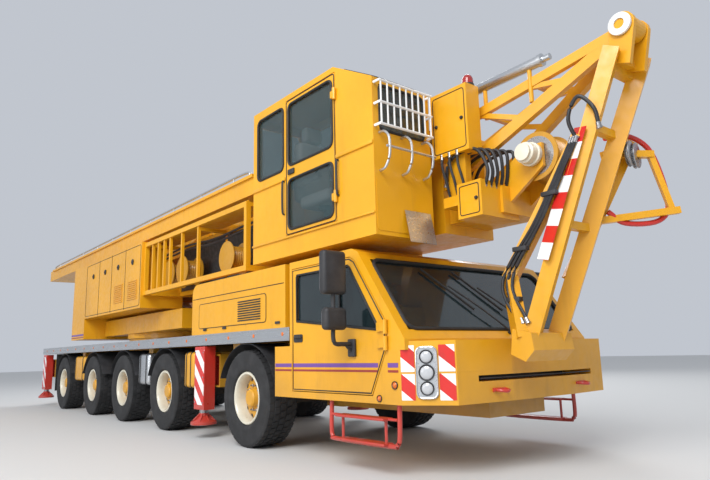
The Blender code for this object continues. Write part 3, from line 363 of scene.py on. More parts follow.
FINISH = {"yellow_paint": yellow, "frame_paint": amber_yellow, "black_paint": black_paint, "aluminium": aluminium,
          "black_plastic": black_plastic, "rubber": tyre_rubber, "cream_paint": cream_paint, "red_paint": red_paint,
          "steel": steel}
for subpart in frame["record"]["subparts"]:
    node = frame["nodes"][subpart["node"]]
    node.data.materials.clear()
    node.data.materials.append(FINISH[subpart["material_slot"]])


# ---- running gear ------------------------------------------------------------------------
def tyre(label, side):
    """Tyre with rounded shoulders, sidewall rings and a tread of staggered blocks."""
    low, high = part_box("tyre_" + label)
    centre = ((low + high) / 2)[:]
    radius, half = (high.z - low.z) / 2, (high.y - low.y) / 2
    rim = 0.301
    deep = 0.012
    t = np.linspace(0, 1, 7)
    wall = [(rim + 0.004, half - 0.032), (rim + 0.02, half - 0.012), (rim + 0.06, half - 0.002), (rim + 0.075, half - 0.006),
            (rim + 0.12, half - 0.001), (radius - 0.075, half - 0.001), (radius - 0.05, half - 0.006)]
    shoulder = [(radius - deep - 0.035 * (1 - math.sin(a)), half - 0.03 + 0.024 * math.cos(a)) for a in t * math.pi / 2]
    outer = wall + shoulder
    profile = outer + [(r, -h) for r, h in reversed(outer)]
    shapes = [ring(profile, centre, (0, 1, 0), 72)]
    blocks = 42
    rows = ((-0.150, 0.052), (-0.078, 0.056), (0.0, 0.060), (0.078, 0.056), (0.150, 0.052))
    for row, (offset, wide) in enumerate(rows):
        angle = (np.arange(blocks) + 0.5 * (row % 2)) * 2 * math.pi / blocks
        span = 2 * math.pi / blocks * 0.36
        corners = []
        for r in (radius - deep - 0.004, radius - 0.0005 - 0.006 * (abs(offset) > 0.1)):
            for da, dy in ((-span, -wide / 2), (span, -wide / 2), (span, wide / 2), (-span, wide / 2)):
                slant = dy * 0.35
                corners.append(np.stack((r * np.cos(angle + da + slant), 0 * angle + offset + dy, r * np.sin(angle + da + slant)), -1))
        points = np.stack(corners, 1).reshape(-1, 3) + np.asarray(centre)
        faces = [[8 * b + k for k in quad] for b in range(blocks)
                 for quad in ((4, 5, 6, 7), (0, 1, 5, 4), (1, 2, 6, 5), (2, 3, 7, 6), (3, 0, 4, 7), (3, 2, 1, 0))]
        shapes.append((points, faces))
    made = piece("treaded_tyre_" + label, shapes, tyre_rubber, "wheel_" + label)
    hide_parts("tyre_" + label)


def wheel_disc(label, side):
    """Cream rim ring, dished yellow disc with black discs of painted shade standing in for the hand holes, ten studs
    with nuts and a hub cap.
    """
    low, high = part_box("tyre_" + label)
    centre = np.array(((low + high) / 2)[:])
    out = np.array((0.0, float(side), 0.0))
    body = "wheel_" + label
    rim = [(0.2995, 0.163), (0.292, 0.172), (0.275, 0.170), (0.262, 0.155), (0.256, 0.10), (0.250, 0.02), (0.245, -0.02),
           (0.262, -0.12), (0.285, -0.165), (0.2995, -0.160)]
    piece("rim_ring_" + label, ring(rim, centre, out, 56), cream_paint, body)
    disc = [(0.0, -0.098), (0.12, -0.098), (0.13, -0.03), (0.247, -0.018), (0.249, 0.025), (0.235, 0.045), (0.20, 0.058),
            (0.165, 0.060), (0.15, 0.052), (0.118, 0.052), (0.110, 0.060), (0.098, 0.120), (0.080, 0.134), (0.0, 0.136)]
    made = piece("wheel_disc_" + label, lathe(disc, centre, out, 48), yellow, body)
    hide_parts("wheel_" + label)
    basis = facing(out)
    shade_discs, studs = [], []
    for k in range(10):
        angle = 2 * math.pi * k / 10
        spoke = basis @ np.array((math.cos(angle), math.sin(angle), 0.0))
        place = centre + spoke * 0.214 + out * 0.0545
        tilt = out + 0.35 * spoke
        # Hand holes: the disc stays solid and a black disc is laid on it at each hole, painted shade in place of the
        # opening.
        shade_discs.append(lathe([(0.0, -0.006), (0.020, -0.006), (0.0215, 0.0015), (0.018, 0.003), (0.0, 0.003)], place, tilt, 14))
        stud = centre + spoke * 0.145 + out * 0.05
        studs.append(lathe([(0.0, 0.0), (0.017, 0.0), (0.017, 0.018), (0.011, 0.022), (0.009, 0.044), (0.0, 0.046)], stud, out, 6))
    # The black plastic here is painted shade for the hand-hole openings, not a plastic part.
    piece("hand_hole_painted_shade_" + label, shade_discs, black_plastic, body)
    piece("wheel_nuts_" + label, studs, steel, body)


for axle in AXLES:
    for name, side in SIDES:
        tyre(axle + "_" + name, side)
        wheel_disc(axle + "_" + name, side)


# ---- shared fittings ---------------------------------------------------------------------
def hoop(path, normal, radius, around=8):
    """Closed round section along a flat closed path: centre + r (cos t side + sin t normal)."""
    path = np.asarray(path, float)
    along = np.roll(path, -1, 0) - np.roll(path, 1, 0)
    along /= np.linalg.norm(along, axis=1)[:, None]
    side = np.cross(along, normal)
    turn = np.linspace(0, 2 * math.pi, around, endpoint=False)
    circle = np.cos(turn)[None, :, None] * side[:, None] + np.sin(turn)[None, :, None] * np.asarray(normal, float)
    points = (path[:, None] + radius * circle).reshape(-1, 3)
    return points, [list(face) for face in grid_faces(len(path), around, close_rows=True, close_columns=True)]


def on_side(outline, y):
    """(x, z) outline at a place across the crane."""
    return [(x, y, z) for x, z in outline]


def side_pane(label, outline, y, side, material, body, seal=0.014):
    """Glass in a side opening with a rubber seal round it."""
    piece(label + "_glass", plate(on_side(outline, y - side * 0.022), 0.006, (0, side, 0)), material, body, False)
    piece(label + "_seal", hoop(on_side(outline, y + side * 0.001), (0, 1, 0), seal), seal_rubber, body)


def bolt_row(points, normal, radius=0.012, high=0.010):
    """Domed bolt heads at the points."""
    head = [(0.0, -0.002), (radius, -0.002), (radius, high * 0.5), (radius * 0.7, high), (0.0, high * 1.1)]
    return [lathe(head, point, normal, 10) for point in points]


def lamp(label, place, normal, radius, lens, body, deep=0.03):
    """Round lamp: black bezel, domed lens."""
    bezel = [(radius * 0.9, -deep), (radius * 1.12, -deep), (radius * 1.16, 0.004), (radius * 1.08, 0.010), (radius * 0.94, 0.006)]
    dome = [(0.0, -deep * 0.5), (radius * 0.95, -deep * 0.5), (radius * 0.95, 0.002), (radius * 0.75, 0.009), (radius * 0.4, 0.014), (0.0, 0.016)]
    piece(label + "_bezel", ring(bezel, place, normal, 24), black_plastic, body)
    piece(label + "_lens", lathe(dome, place, normal, 24), lens, body)


def hose(label, points, radius, body, material=None):
    """Hose with a crimped fitting at each end."""
    path = smooth_path(points)
    made = piece(label, tube(path, radius), material or hose_rubber, body)
    ends = []
    for end, near in ((path[0], path[1]), (path[-1], path[-2])):
        out = (end - near) / np.linalg.norm(end - near)
        fitting = [(0.0, -0.05), (radius * 1.25, -0.05), (radius * 1.3, -0.012), (radius * 1.6, -0.010), (radius * 1.6, 0.004), (0.0, 0.006)]
        ends.append(lathe(fitting, end, out, 12))
    piece(label + "_fittings", ends, steel, body)
    return made


# ---- road cab ----------------------------------------------------------------------------
SKIN = 1.37
run = np.array((-0.59, 0.0, 0.82)) / math.hypot(0.59, 0.82)
outward = np.array((0.82, 0.0, 0.59)) / math.hypot(0.59, 0.82)


def on_screen(outline, out=0.0):
    """(across, up the slope) outline on the sloping windscreen, moved out by a distance."""
    return [np.array((5.83, u, 1.14)) + run * v + outward * out for u, v in outline]


screen = rounded_outline(-1.252, 1.252, 0.106, 0.920, 0.09, 7)
piece("road_cab_windscreen", plate(on_screen(screen, -0.020), 0.008, outward), dark_glass, "root", False)
piece("road_cab_windscreen_seal", hoop(on_screen(screen, 0.002), outward, 0.018), seal_rubber, "root")
for name, side in SIDES:
    pivot, tip = on_screen(((side * 0.22 + 0.30, 0.060), (side * 0.22 - 0.22, 0.62)), 0.032)
    blade = on_screen(((side * 0.22 - 0.02, 0.34), (side * 0.22 - 0.44, 0.84)), 0.012)
    piece("wiper_arm_" + name, [tube(smooth_path((pivot, (pivot + tip) / 2 + outward * 0.012, tip)), 0.009),
                                tube((pivot - outward * 0.03, pivot + outward * 0.012), 0.018, 14)], black_plastic, "root")
    piece("wiper_blade_" + name, tube(smooth_path((blade[0], (blade[0] + blade[1]) / 2, blade[1])), 0.011, 6), seal_rubber, "root")
roof_lip = [(5.10, y, 2.004) for y in np.linspace(-1.30, 1.30, 9)]
piece("road_cab_roof_gutter", tube(roof_lip, 0.008), yellow, "root")

door_window = [(4.225, 1.372), (5.485, 1.232), (5.490, 1.275), (5.115, 1.828), (5.09, 1.845), (4.24, 1.848), (4.225, 1.83)]
door_edge = [(4.150, 0.685), (5.39, 0.685), (5.585, 1.065), (5.585, 1.295), (5.182, 1.868), (5.115, 1.905), (4.150, 1.905)]
for name, side in SIDES:
    body = "door_" + name
    y = side * SKIN
    side_pane("road_cab_door_" + name, door_window, y, side, dark_glass, body, 0.012)
    piece("door_edge_seal_" + name, hoop(on_side(door_edge, y + side * 0.0005), (0, 1, 0), 0.006), seal_rubber, body)
    piece("door_window_post_" + name, tube(on_side(((4.95, 1.300), (4.95, 1.845)), y - side * 0.004), 0.012), seal_rubber, body)
    cup = plate(on_side(rounded_outline(4.17, 4.33, 1.155, 1.235, 0.02), y + side * 0.0003), 0.006, (0, side, 0))
    grip = tube(smooth_path(on_side(((4.185, 1.20), (4.20, 1.205)), y + side * 0.004) + on_side(((4.25, 1.207), (4.31, 1.205)), y + side * 0.026)
                            + on_side(((4.318, 1.20),), y + side * 0.006)), 0.010)
    piece("door_handle_" + name, [cup, grip], black_plastic, body)
    for z, high, paint, label in ((0.924, 0.038, purple_band, "purple"), (0.874, 0.020, maroon_band, "maroon")):
        for x0, x1, rides, part in ((3.80, 4.118, "root", "rear"), (4.142, 5.585 if z < 1 else 5.58, body, "door"), (5.615, 5.745, "root", "front")):
            strip = plate(on_side(((x0, z - high / 2), (min(x1, 5.49) if part == "door" else x1, z - high / 2),
                                   (min(x1, 5.49) if part == "door" else x1, z + high / 2), (x0, z + high / 2)), y + side * 0.0004), 0.0012, (0, side, 0))
            piece(label + "_stripe_" + part + "_" + name, strip, paint, rides, False)
    lamp("side_marker_" + name, (5.50, y + side * 0.004, 0.645), (0, side, 0), 0.026, amber_lens, "root", 0.01)

    out = side * (SKIN + 0.22)
    shells = [cushioned_block((5.100, out - 0.130, 1.560), (5.198, out + 0.130, 1.960), 0.035, 4),
              cushioned_block((5.110, out - 0.120, 1.240), (5.208, out + 0.120, 1.440), 0.035, 4),
              tube(smooth_path(((5.15, side * (SKIN + 0.006), 1.12), (5.15, side * (SKIN + 0.12), 1.115), (5.15, out, 1.14), (5.15, out, 1.35), (5.15, out, 1.60))), 0.020, 12),
              tube(((5.15, side * (SKIN + 0.004), 1.03), (5.15, side * (SKIN + 0.10), 1.12)), 0.014, 10),
              cushioned_block((5.10, min(side * (SKIN + 0.0005), side * (SKIN + 0.03)), 1.00), (5.20, max(side * (SKIN + 0.0005), side * (SKIN + 0.03)), 1.16), 0.010, 3)]
    made = piece("mirror_housing_" + name, shells, black_plastic, body)
    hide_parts("mirror_" + name)
    faces = [plate([(5.0975, out + u, 1.76 + v) for u, v in rounded_outline(-0.112, 0.112, -0.182, 0.182, 0.03)], 0.004, (1, 0, 0)),
             plate([(5.1075, out + u, 1.34 + v) for u, v in rounded_outline(-0.102, 0.102, -0.082, 0.082, 0.03)], 0.004, (1, 0, 0))]
    piece("mirror_glass_" + name, faces, chrome, body, False)

    step = [(4.72, side * 1.30, 0.66), (4.72, side * 1.31, 0.34), (4.74, side * 1.31, 0.27), (4.80, side * 1.31, 0.25),
            (5.55, side * 1.31, 0.25), (5.64, side * 1.31, 0.27), (5.67, side * 1.31, 0.34), (5.67, side * 1.30, 0.66)]
    tread = [cushioned_block((4.86, side * 1.31 - 0.07, z - 0.012), (5.54, side * 1.31 + 0.05, z + 0.012), 0.008) for z in (0.262, 0.47)]
    hangers = [tube(((x, side * 1.31, 0.48), (x, side * 1.31, 0.25)), 0.014) for x in (4.90, 5.50)]
    piece("cab_step_frame_" + name, [tube(smooth_path(step, 5), 0.021, 12)] + hangers, red_paint, "root")
    piece("cab_step_treads_" + name, tread + [tube(((4.74, side * 1.31, 0.47), (5.65, side * 1.31, 0.47)), 0.013)], red_paint, "root")


# ---- nose --------------------------------------------------------------------------------
def corner_point(side, u, z, out=0.0):
    """Point on the raked nose corner: u along it from the side, z up, moved out along its normal."""
    way = np.array((0.39, -side * 0.27)) / math.hypot(0.39, 0.27)
    normal = corner_normal(side)
    return (5.76 + way[0] * u + normal[0] * out, side * SKIN + way[1] * u + normal[1] * out, z)


def corner_normal(side):
    """Outward direction of the raked nose corner."""
    return np.array((0.27, side * 0.39, 0.0)) / math.hypot(0.27, 0.39)


def corner_panel(side, u0, u1, z0, z1, thick, bend=0.004):
    """Panel with round corners lying on the raked nose corner."""
    corners = [corner_point(side, u, z, 0.0006) for u, z in rounded_outline(u0, u1, z0, z1, bend)]
    return plate(corners, thick, corner_normal(side))


for name, side in SIDES:
    bands = nose_bands if side < 0 else nose_bands_left
    for part, u0, u1 in (("outer", 0.012, 0.128), ("inner", 0.330, 0.462)):
        for level, z0, z1 in (("upper", 0.868, 1.085), ("lower", 0.640, 0.852)):
            piece("nose_warning_panel_%s_%s_%s" % (part, level, name), corner_panel(side, u0, u1, z0, z1, 0.003), bands, "root", False)
    piece("lamp_cluster_panel_" + name, corner_panel(side, 0.138, 0.320, 0.650, 1.075, 0.016, 0.05), aluminium, "root")
    piece("lamp_cluster_rim_" + name, hoop([corner_point(side, u, z, 0.017) for u, z in rounded_outline(0.144, 0.314, 0.656, 1.069, 0.05)],
                                           corner_normal(side), 0.006), chrome, "root")
    for index, (z, radius) in enumerate(((0.735, 0.050), (0.862, 0.058), (0.990, 0.050))):
        lamp("headlamp_%d_%s" % (index + 1, name), corner_point(side, 0.229, z, 0.022), corner_normal(side), radius, lamp_lens, "root", 0.014)
    lamp("nose_indicator_" + name, (5.70, side * (SKIN + 0.004), 0.760), (0, side, 0), 0.030, amber_lens, "root", 0.008)

block = cushioned_block((6.145, -0.27, 0.645), (6.190, 0.27, 0.755), 0.006)
piece("number_plate_holder", block, aluminium, "root")
shackle_parts = []
for side in (-1, 1):
    y = side * 0.62
    bow = [(6.160, y - 0.055, 0.70), (6.205, y - 0.060, 0.70), (6.250, y - 0.045, 0.695), (6.270, y, 0.69), (6.250, y + 0.045, 0.695), (6.205, y + 0.060, 0.70), (6.160, y + 0.055, 0.70)]
    shackle_parts += [tube(smooth_path(bow, 5), 0.014, 10), tube(((6.185, y - 0.085, 0.70), (6.185, y + 0.085, 0.70)), 0.017, 12)]
piece("towing_shackles", shackle_parts, red_paint, "root")
grille = [tube([(6.185 - 0.045 * (abs(y) / 1.1) ** 2 * 0.6, y, 0.80) for y in np.linspace(-0.84, 0.84, 13)], 0.006)]
piece("bumper_slot_bar", grille, black_plastic, "root")

cushions, backs = [], []
for side in (-1, 1):
    y = side * 0.72
    cushions.append(cushioned_block((4.40, y - 0.25, 1.00), (4.90, y + 0.25, 1.075), 0.035, 4))
    slope = smooth_path(((4.47, y, 1.10), (4.40, y, 1.35), (4.335, y, 1.62), (4.32, y, 1.72)))
    backs += [tube(slope + (0, offset, 0), 0.058, 12) for offset in np.linspace(-0.19, 0.19, 5)]
piece("road_cab_seat_cushions", cushions, black_plastic, "root")
piece("road_cab_seat_backs", backs, black_plastic, "root")
column = facing((-0.75, 0, 0.66))
rim_profile = [(0.205 + 0.013 * math.cos(a), 0.013 * math.sin(a)) for a in np.linspace(0, 2 * math.pi, 10, endpoint=False)]
spokes = [tube((np.array((5.03, 0.72, 1.255)), np.array((5.03, 0.72, 1.255)) + column @ np.array((0.2 * math.cos(a), 0.2 * math.sin(a), 0))), 0.010)
          for a in (0.4, math.pi - 0.4, 1.5 * math.pi)]
piece("steering_wheel", [ring(rim_profile, (5.03, 0.72, 1.255), (-0.75, 0, 0.66), 32)] + spokes, black_plastic, "root")


# ---- carrier deck, engine hood, outriggers -----------------------------------------------
rivets = np.arange(-6.60, 4.0, 0.62)
for name, side in SIDES:
    low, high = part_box("deck")
    face = side * max(abs(low.y), abs(high.y))
    dots = [lathe([(0.0, -0.001), (0.021, -0.001), (0.021, 0.003), (0.014, 0.005), (0.0, 0.006)], (x, face + side * 0.0004, 1.252), (0, side, 0), 16) for x in rivets]
    piece("rail_marker_lamps_" + name, dots, amber_lens, "root")
    for z in (1.196, 1.302):
        piece("rail_bead_%d_%s" % (int(z * 1000), name), tube([(x, face + side * 0.0005, z) for x in np.linspace(low.x + 0.01, high.x - 0.01, 12)], 0.005, 6), aluminium, "root")
    recess = plate(on_side(rounded_outline(1.86, 3.60, 1.40, 1.72, 0.04), side * (SKIN + 0.0004)), 0.004, (0, side, 0))
    piece("hood_side_panel_" + name, recess, yellow, "root")
    piece("hood_side_panel_gap_" + name, hoop(on_side(rounded_outline(1.86, 3.60, 1.40, 1.72, 0.04), side * (SKIN + 0.002)), (0, 1, 0), 0.005), seal_rubber, "root")
    piece("hood_groove_" + name, tube([(x, side * (SKIN + 0.0005), 1.80) for x in np.linspace(1.66, 3.97, 14)], 0.005, 6), seal_rubber, "root")
    slats = []
    for k in range(9):
        z = 1.445 + 0.028 * k
        slats.append(tube([(x, side * (SKIN + 0.006), z) for x in (2.95, 3.10, 3.30, 3.48)], 0.008, 8))
    piece("hood_louvre_" + name, slats, black_plastic, "root")
    latches = [cushioned_block((x - 0.045, min(side * (SKIN + 0.001), side * (SKIN + 0.016)), 1.365), (x + 0.045, max(side * (SKIN + 0.001), side * (SKIN + 0.016)), 1.393), 0.006)
               for x in (2.05, 2.60, 3.85)]
    piece("hood_latches_" + name, latches, black_plastic, "root")
top_slats = [tube([(x, y, 2.006) for y in np.linspace(-0.62, 0.62, 5)], 0.009, 8) for x in np.arange(2.2, 3.3, 0.07)]
piece("hood_top_grille", top_slats, black_plastic, "root")
for axle, x in (("1", 3.10), ("2", 0.63), ("3", -1.21), ("4", -2.95), ("5", -5.05)):
    for name, side in SIDES:
        arch = [(x + 0.68 * math.cos(a), side * 1.20, min(0.55 + 0.62 * math.sin(a), 1.165)) for a in np.radians(np.linspace(20, 160, 25))]
        lip = smooth_path(arch, 2)
        inner = lip + np.array((0.0, -side * 0.36, 0.0))
        points = np.stack((lip + (0, side * 0.15, 0), inner, inner + (0, 0, 0.006), lip + (0, side * 0.15, 0.006)), 1).reshape(-1, 3)
        faces = [list(f) for f in grid_faces(len(lip), 4, close_columns=True)] + [[3, 2, 1, 0], [len(points) - 4, len(points) - 3, len(points) - 2, len(points) - 1]]
        piece("mudguard_%s_%s" % (axle, name), (points, faces), black_plastic, "root")
for place, x in (("front", 1.90), ("rear", -6.74)):
    for name, side in SIDES:
        label = place + "_" + name
        y = side * SKIN
        board = plate(on_side(((x - 0.135, 0.42), (x + 0.135, 0.42), (x + 0.135, 1.12), (x - 0.135, 1.12)), y + side * 0.0005), 0.004, (0, side, 0))
        piece("outrigger_warning_board_" + label, board, leg_bands, "outrigger_beam_" + label, False)
        bolts = bolt_row([(x + dx, y + side * 0.005, z) for dx in (-0.115, 0.115) for z in (0.45, 0.77, 1.09)], (0, side, 0), 0.010, 0.007)
        piece("outrigger_board_bolts_" + label, bolts, steel, "outrigger_beam_" + label)
        centre = (x, side * (SKIN - 0.075), 0.22)
        foot = [(0.0, -0.0495), (0.166, -0.0495), (0.170, -0.040), (0.168, -0.015), (0.150, 0.0), (0.110, 0.020), (0.080, 0.046), (0.062, 0.060), (0.062, 0.095), (0.0, 0.095)]
        piece("outrigger_foot_" + label, lathe(foot, centre, (0, 0, 1), 32), red_paint, "outrigger_jack_" + label)
        ribs = [plate([(centre[0] + r * math.cos(a), centre[1] + r * math.sin(a), z) for r, z in ((0.06, 0.245), (0.155, 0.2215), (0.06, 0.31))], 0.008, (-math.sin(a), math.cos(a), 0))
                for a in np.radians(np.arange(0, 360, 45))]
        piece("outrigger_foot_ribs_" + label, ribs, red_paint, "outrigger_jack_" + label, False)
        hose("outrigger_hose_" + label, [(x - 0.08, side * 1.16, 0.86), (x - 0.11, side * 1.20, 0.93), (x - 0.12, side * 1.24, 0.98)], 0.011, "outrigger_beam_" + label)


# ---- upper works -------------------------------------------------------------------------
for name, side in SIDES:
    y = side * SKIN
    for z, high, paint, label in ((1.53, 0.038, purple_band, "purple"), (1.48, 0.020, maroon_band, "maroon")):
        strip = plate(on_side(((-4.49, z - high / 2), (-3.61, z - high / 2), (-3.61, z + high / 2), (-4.49, z + high / 2)), y + side * 0.0004), 0.0012, (0, side, 0))
        piece("ballast_%s_stripe_%s" % (label, name), strip, paint, "upper", False)
    latches, seams = [], []
    for x in (-3.10, -2.35, -1.60, -0.85):
        latches.append(lathe([(0.0, -0.001), (0.048, -0.001), (0.050, 0.010), (0.040, 0.016), (0.020, 0.016), (0.016, 0.026), (0.0, 0.028)], (x, y + side * 0.001, 2.66), (0, side, 0), 24))
    for x in (-2.72, -1.97, -1.22):
        seams.append(tube(on_side(((x, 1.87), (x, 2.93)), y + side * 0.0005), 0.005, 6))
    seams.append(hoop(on_side(rounded_outline(-3.56, -0.47, 1.89, 2.91, 0.05), y + side * 0.0005), (0, 1, 0), 0.005, 6))
    piece("house_latches_" + name, latches, black_plastic, "upper")
    piece("house_panel_seams_" + name, seams, seal_rubber, "upper")
    slats = [tube(on_side(((x0 + 0.05, z), (x0 + 0.50, z)), y + side * 0.006), 0.009, 8) for x0 in (-1.83, -1.10) for z in np.arange(2.02, 2.36, 0.034)]
    piece("house_louvres_" + name, slats, yellow, "upper")
    lifting = [ring([(0.055 + 0.016 * math.cos(a), 0.016 * math.sin(a)) for a in np.linspace(0, 2 * math.pi, 10, endpoint=False)],
                    (x, side * 1.02, 2.952), (1, 0, 0), 20) for x in (-4.30, -3.80)]
    piece("ballast_lifting_eyes_" + name, lifting, steel, "upper")
    panel = [plate(on_side(((x0, 2.13), (x1, 2.13), (x1, 2.84), (x0, 2.84)), side * 0.70), 0.004, (0, side, 0)) for x0, x1 in ((-0.33, 1.26), (1.34, 2.96))]
    piece("bay_back_panels_" + name, panel, black_paint, "upper", False)
    reels = []
    for x in (0.10, 0.62, 2.10):
        drum = [(0.0, -0.13), (0.22, -0.13), (0.22, -0.115), (0.15, -0.112)] + [(0.15 + 0.008 * (k % 2), -0.112 + 0.014 * k) for k in range(17)] + [(0.15, 0.115), (0.22, 0.118), (0.22, 0.13), (0.0, 0.13)]
        reels.append(lathe(drum, (x, side * 0.98, 2.36), (0, side, 0), 28))
    piece("bay_rope_reels_" + name, reels, amber_yellow, "upper")
    runs = [tube(smooth_path([(x, side * 1.0, z + 0.02 * math.sin(3 * x)) for x in np.linspace(-0.30, 2.90, 9)]), 0.016, 10) for z in (2.68, 2.74)]
    piece("bay_hose_runs_" + name, runs, hose_rubber, "upper")
    rail = [(-0.38, side * 1.27, 2.936), (3.0, side * 1.27, 2.936)]
    piece("bay_top_bead_" + name, tube(rail, 0.012), yellow, "upper")

piece("slewing_ring_bolts", bolt_row([(-2.10 + 0.88 * math.cos(a), 0.88 * math.sin(a), 1.521) for a in np.linspace(0, 2 * math.pi, 40, endpoint=False)
                                      if abs(math.sin(a)) > 0.2 or math.cos(a) > 2], (0, 0, 1), 0.016, 0.014), steel, "upper")
for name, side in SIDES:
    pin_cap = [(0.0, -0.002), (0.105, -0.002), (0.105, 0.012), (0.085, 0.020), (0.070, 0.020), (0.065, 0.010), (0.0, 0.010)]
    piece("tower_pin_cap_" + name, lathe(pin_cap, (-3.90, side * 0.600, 2.50), (0, side, 0), 28), steel, "tower_outer")

collars = []
for x in (-3.9, -2.2, -0.5, 1.2, 2.9):
    ring_path = [(x, y, z) for y, z in ((-0.443, 2.147), (0.443, 2.147), (0.443, 2.853), (-0.443, 2.853))]
    collars.append(hoop(ring_path, (1, 0, 0), 0.012, 8))
piece("tower_weld_bands", collars, yellow, "tower_outer")
mouth = [cushioned_block((4.285, -0.41, 2.845), (4.34, 0.41, 2.868), 0.006), cushioned_block((4.285, -0.41, 2.132), (4.34, 0.41, 2.155), 0.006)]
piece("tower_slide_pads", mouth, black_plastic, "tower_outer")


# ---- jib ---------------------------------------------------------------------------------
for name, y in (("outer_right", -1.215), ("outer_left", -0.64)):
    rails, feet = [], []
    rails.append(tube(smooth_path([(-6.98, y, 3.268), (-6.95, y, 3.335)] + [(x, y, 3.352) for x in np.linspace(-6.6, 2.6, 12)] + [(2.9, y, 3.335), (2.93, y, 3.268)], 4), 0.017, 10))
    for x in np.linspace(-6.5, 2.5, 10):
        rails.append(tube(((x, y, 3.262), (x, y, 3.352)), 0.011, 8))
        feet.append(cushioned_block((x - 0.04, y - 0.022, 3.268), (x + 0.04, y + 0.022, 3.282), 0.004))
    piece("jib_handrail_" + name, rails, aluminium, "jib_outer")
    piece("jib_handrail_feet_" + name, feet, yellow, "jib_outer")
folds = [plate([(x + 0.115, -1.2035, 3.065), (x + 1.485, -1.2035, 3.065), (x + 1.485, -1.2035, 3.20), (x + 0.115, -1.2035, 3.20)], 0.003, (0, 1, 0)) for x in (-6.9, -5.2, -3.5, -1.8, -0.1)]
piece("jib_outer_cover_panels", folds, black_paint, "jib_outer", False)
caps = []
for y, z in ((-1.10, 3.14), (-0.92, 3.14), (-0.74, 3.14)):
    caps.append(ring([(0.035, -0.03), (0.050, -0.03), (0.052, 0.0), (0.036, 0.002)], (-7.357, y, z), (-1, 0, 0), 24))
piece("jib_tube_ends", caps, steel, "jib_outer")
for name, side in SIDES:
    cable = [(x, side * 0.150, 3.43 + 0.004 * math.sin(x)) for x in np.linspace(-7.2, 4.6, 30)]
    piece("jib_pendant_" + name, tube(cable, 0.012, 8), steel, "jib_inner")
    pin = [(0.0, -0.004), (0.062, -0.004), (0.062, 0.012), (0.050, 0.018), (0.0, 0.018)]
    piece("jib_pin_cap_" + name, lathe(pin, (5.30, side * 0.385, 3.22), (0, side, 0), 24), steel, "jib_inner")
walk = [tube(((x, -0.235, 3.425), (x, 0.235, 3.425)), 0.006, 6) for x in np.arange(-7.2, 4.6, 0.11)]
piece("jib_walkway_rungs", walk, steel, "jib_inner")
sheave = [(0.05, -0.020), (0.150, -0.020), (0.155, -0.012), (0.132, -0.004), (0.132, 0.004), (0.155, 0.012), (0.150, 0.020), (0.05, 0.020)]
piece("hook_sheaves", [ring(sheave, (-5.50, y, 3.215), (0, 1, 0), 36) for y in (-0.114, 0.114)], steel, "hook_block")


# ---- head, winch and strut ---------------------------------------------------------------
rope_turns = [(0.192 + 0.0065 * (1 + math.cos(2 * math.pi * k / 4)), -0.118 + 0.236 * k / 72) for k in range(73)]
drum = [(0.0, -0.133), (0.232, -0.133), (0.235, -0.122), (0.192, -0.119)] + rope_turns + [(0.192, 0.119), (0.235, 0.122), (0.232, 0.133), (0.0, 0.133)]
piece("rope_drum", lathe(drum, (6.40, 0, 2.80), (0, 1, 0), 48), amber_yellow, "winch_drum")
motor = [(0.0, 0.0), (0.105, 0.0), (0.112, 0.012), (0.112, 0.05), (0.098, 0.055), (0.098, 0.13), (0.080, 0.14), (0.080, 0.17), (0.0, 0.175)]
piece("winch_motor", lathe(motor, (6.40, -0.183, 2.80), (0, -1, 0), 32), cream_paint, "tower_inner")
piece("winch_brake", lathe([(r, h * 0.6) for r, h in motor], (6.40, 0.183, 2.80), (0, 1, 0), 32), cream_paint, "tower_inner")
cylinder = [(0.0, -0.47), (0.045, -0.47), (0.052, -0.46), (0.052, 0.38), (0.060, 0.385), (0.060, 0.42), (0.030, 0.425), (0.030, 0.50), (0.0, 0.50)]
piece("head_cylinder", lathe(cylinder, (6.18, -0.20, 3.66), (1, 0, 0.02), 28), aluminium, "tower_inner")
saddles = [tube(((x, -0.20, 3.30 + 0.0 * x), (x, -0.20, 3.62)), 0.022, 10) for x in (5.92, 6.45)]
piece("head_cylinder_saddles", saddles, yellow, "tower_inner")
bush = [(0.046, -0.02), (0.098, -0.02), (0.098, 0.004), (0.080, 0.010), (0.046, 0.010)]
for name, side in SIDES:
    piece("head_pin_bush_" + name, ring(bush, (7.33, side * 0.1725, 3.70), (0, side, 0), 32), white_paint, "strut")
for index in range(6):
    y = -0.52 + 0.075 * index
    hose("head_hose_%d" % (index + 1), [(5.62, y, 2.62), (5.70 + 0.02 * index, y - 0.02, 2.86), (5.98 + 0.03 * index, y + 0.01, 2.92), (6.12, y + 0.02, 2.70), (6.06, y + 0.03, 2.50)], 0.017, "tower_inner")
for index in range(3):
    x = 5.62 + 0.10 * index
    hose("cabinet_hose_%d" % (index + 1), [(x, -0.56, 2.93), (x + 0.02, -0.585, 2.80), (x + 0.05, -0.56, 2.62), (x + 0.04, -0.50, 2.44)], 0.014, "tower_inner")
seams = [hoop(on_side(rounded_outline(5.54, 5.95, 2.95, 3.54, 0.03), -0.5752), (0, 1, 0), 0.005, 6),
         hoop(on_side(rounded_outline(5.83, 6.06, 2.28, 2.56, 0.02), -0.5752), (0, 1, 0), 0.005, 6)]
piece("head_cabinet_seals", seams, seal_rubber, "tower_inner")
knobs = bolt_row([(5.58, -0.5755, 3.24), (5.91, -0.5755, 3.24), (6.03, -0.5755, 2.42)], (0, -1, 0), 0.018, 0.018)
piece("head_cabinet_latches", knobs, black_plastic, "tower_inner")
beacon_base = [(0.0, -0.002), (0.062, -0.002), (0.066, 0.010), (0.060, 0.036), (0.0, 0.036)]
beacon_dome = [(0.0, 0.0), (0.055, 0.0), (0.056, 0.02), (0.053, 0.06), (0.040, 0.085), (0.020, 0.098), (0.0, 0.101)]
piece("beacon_base", lathe(beacon_base, (5.90, -0.44, 3.583), (0, 0, 1), 28), black_plastic, "tower_inner")
piece("beacon_dome", lathe(beacon_dome, (5.90, -0.44, 3.619), (0, 0, 1), 28), red_lens, "tower_inner")

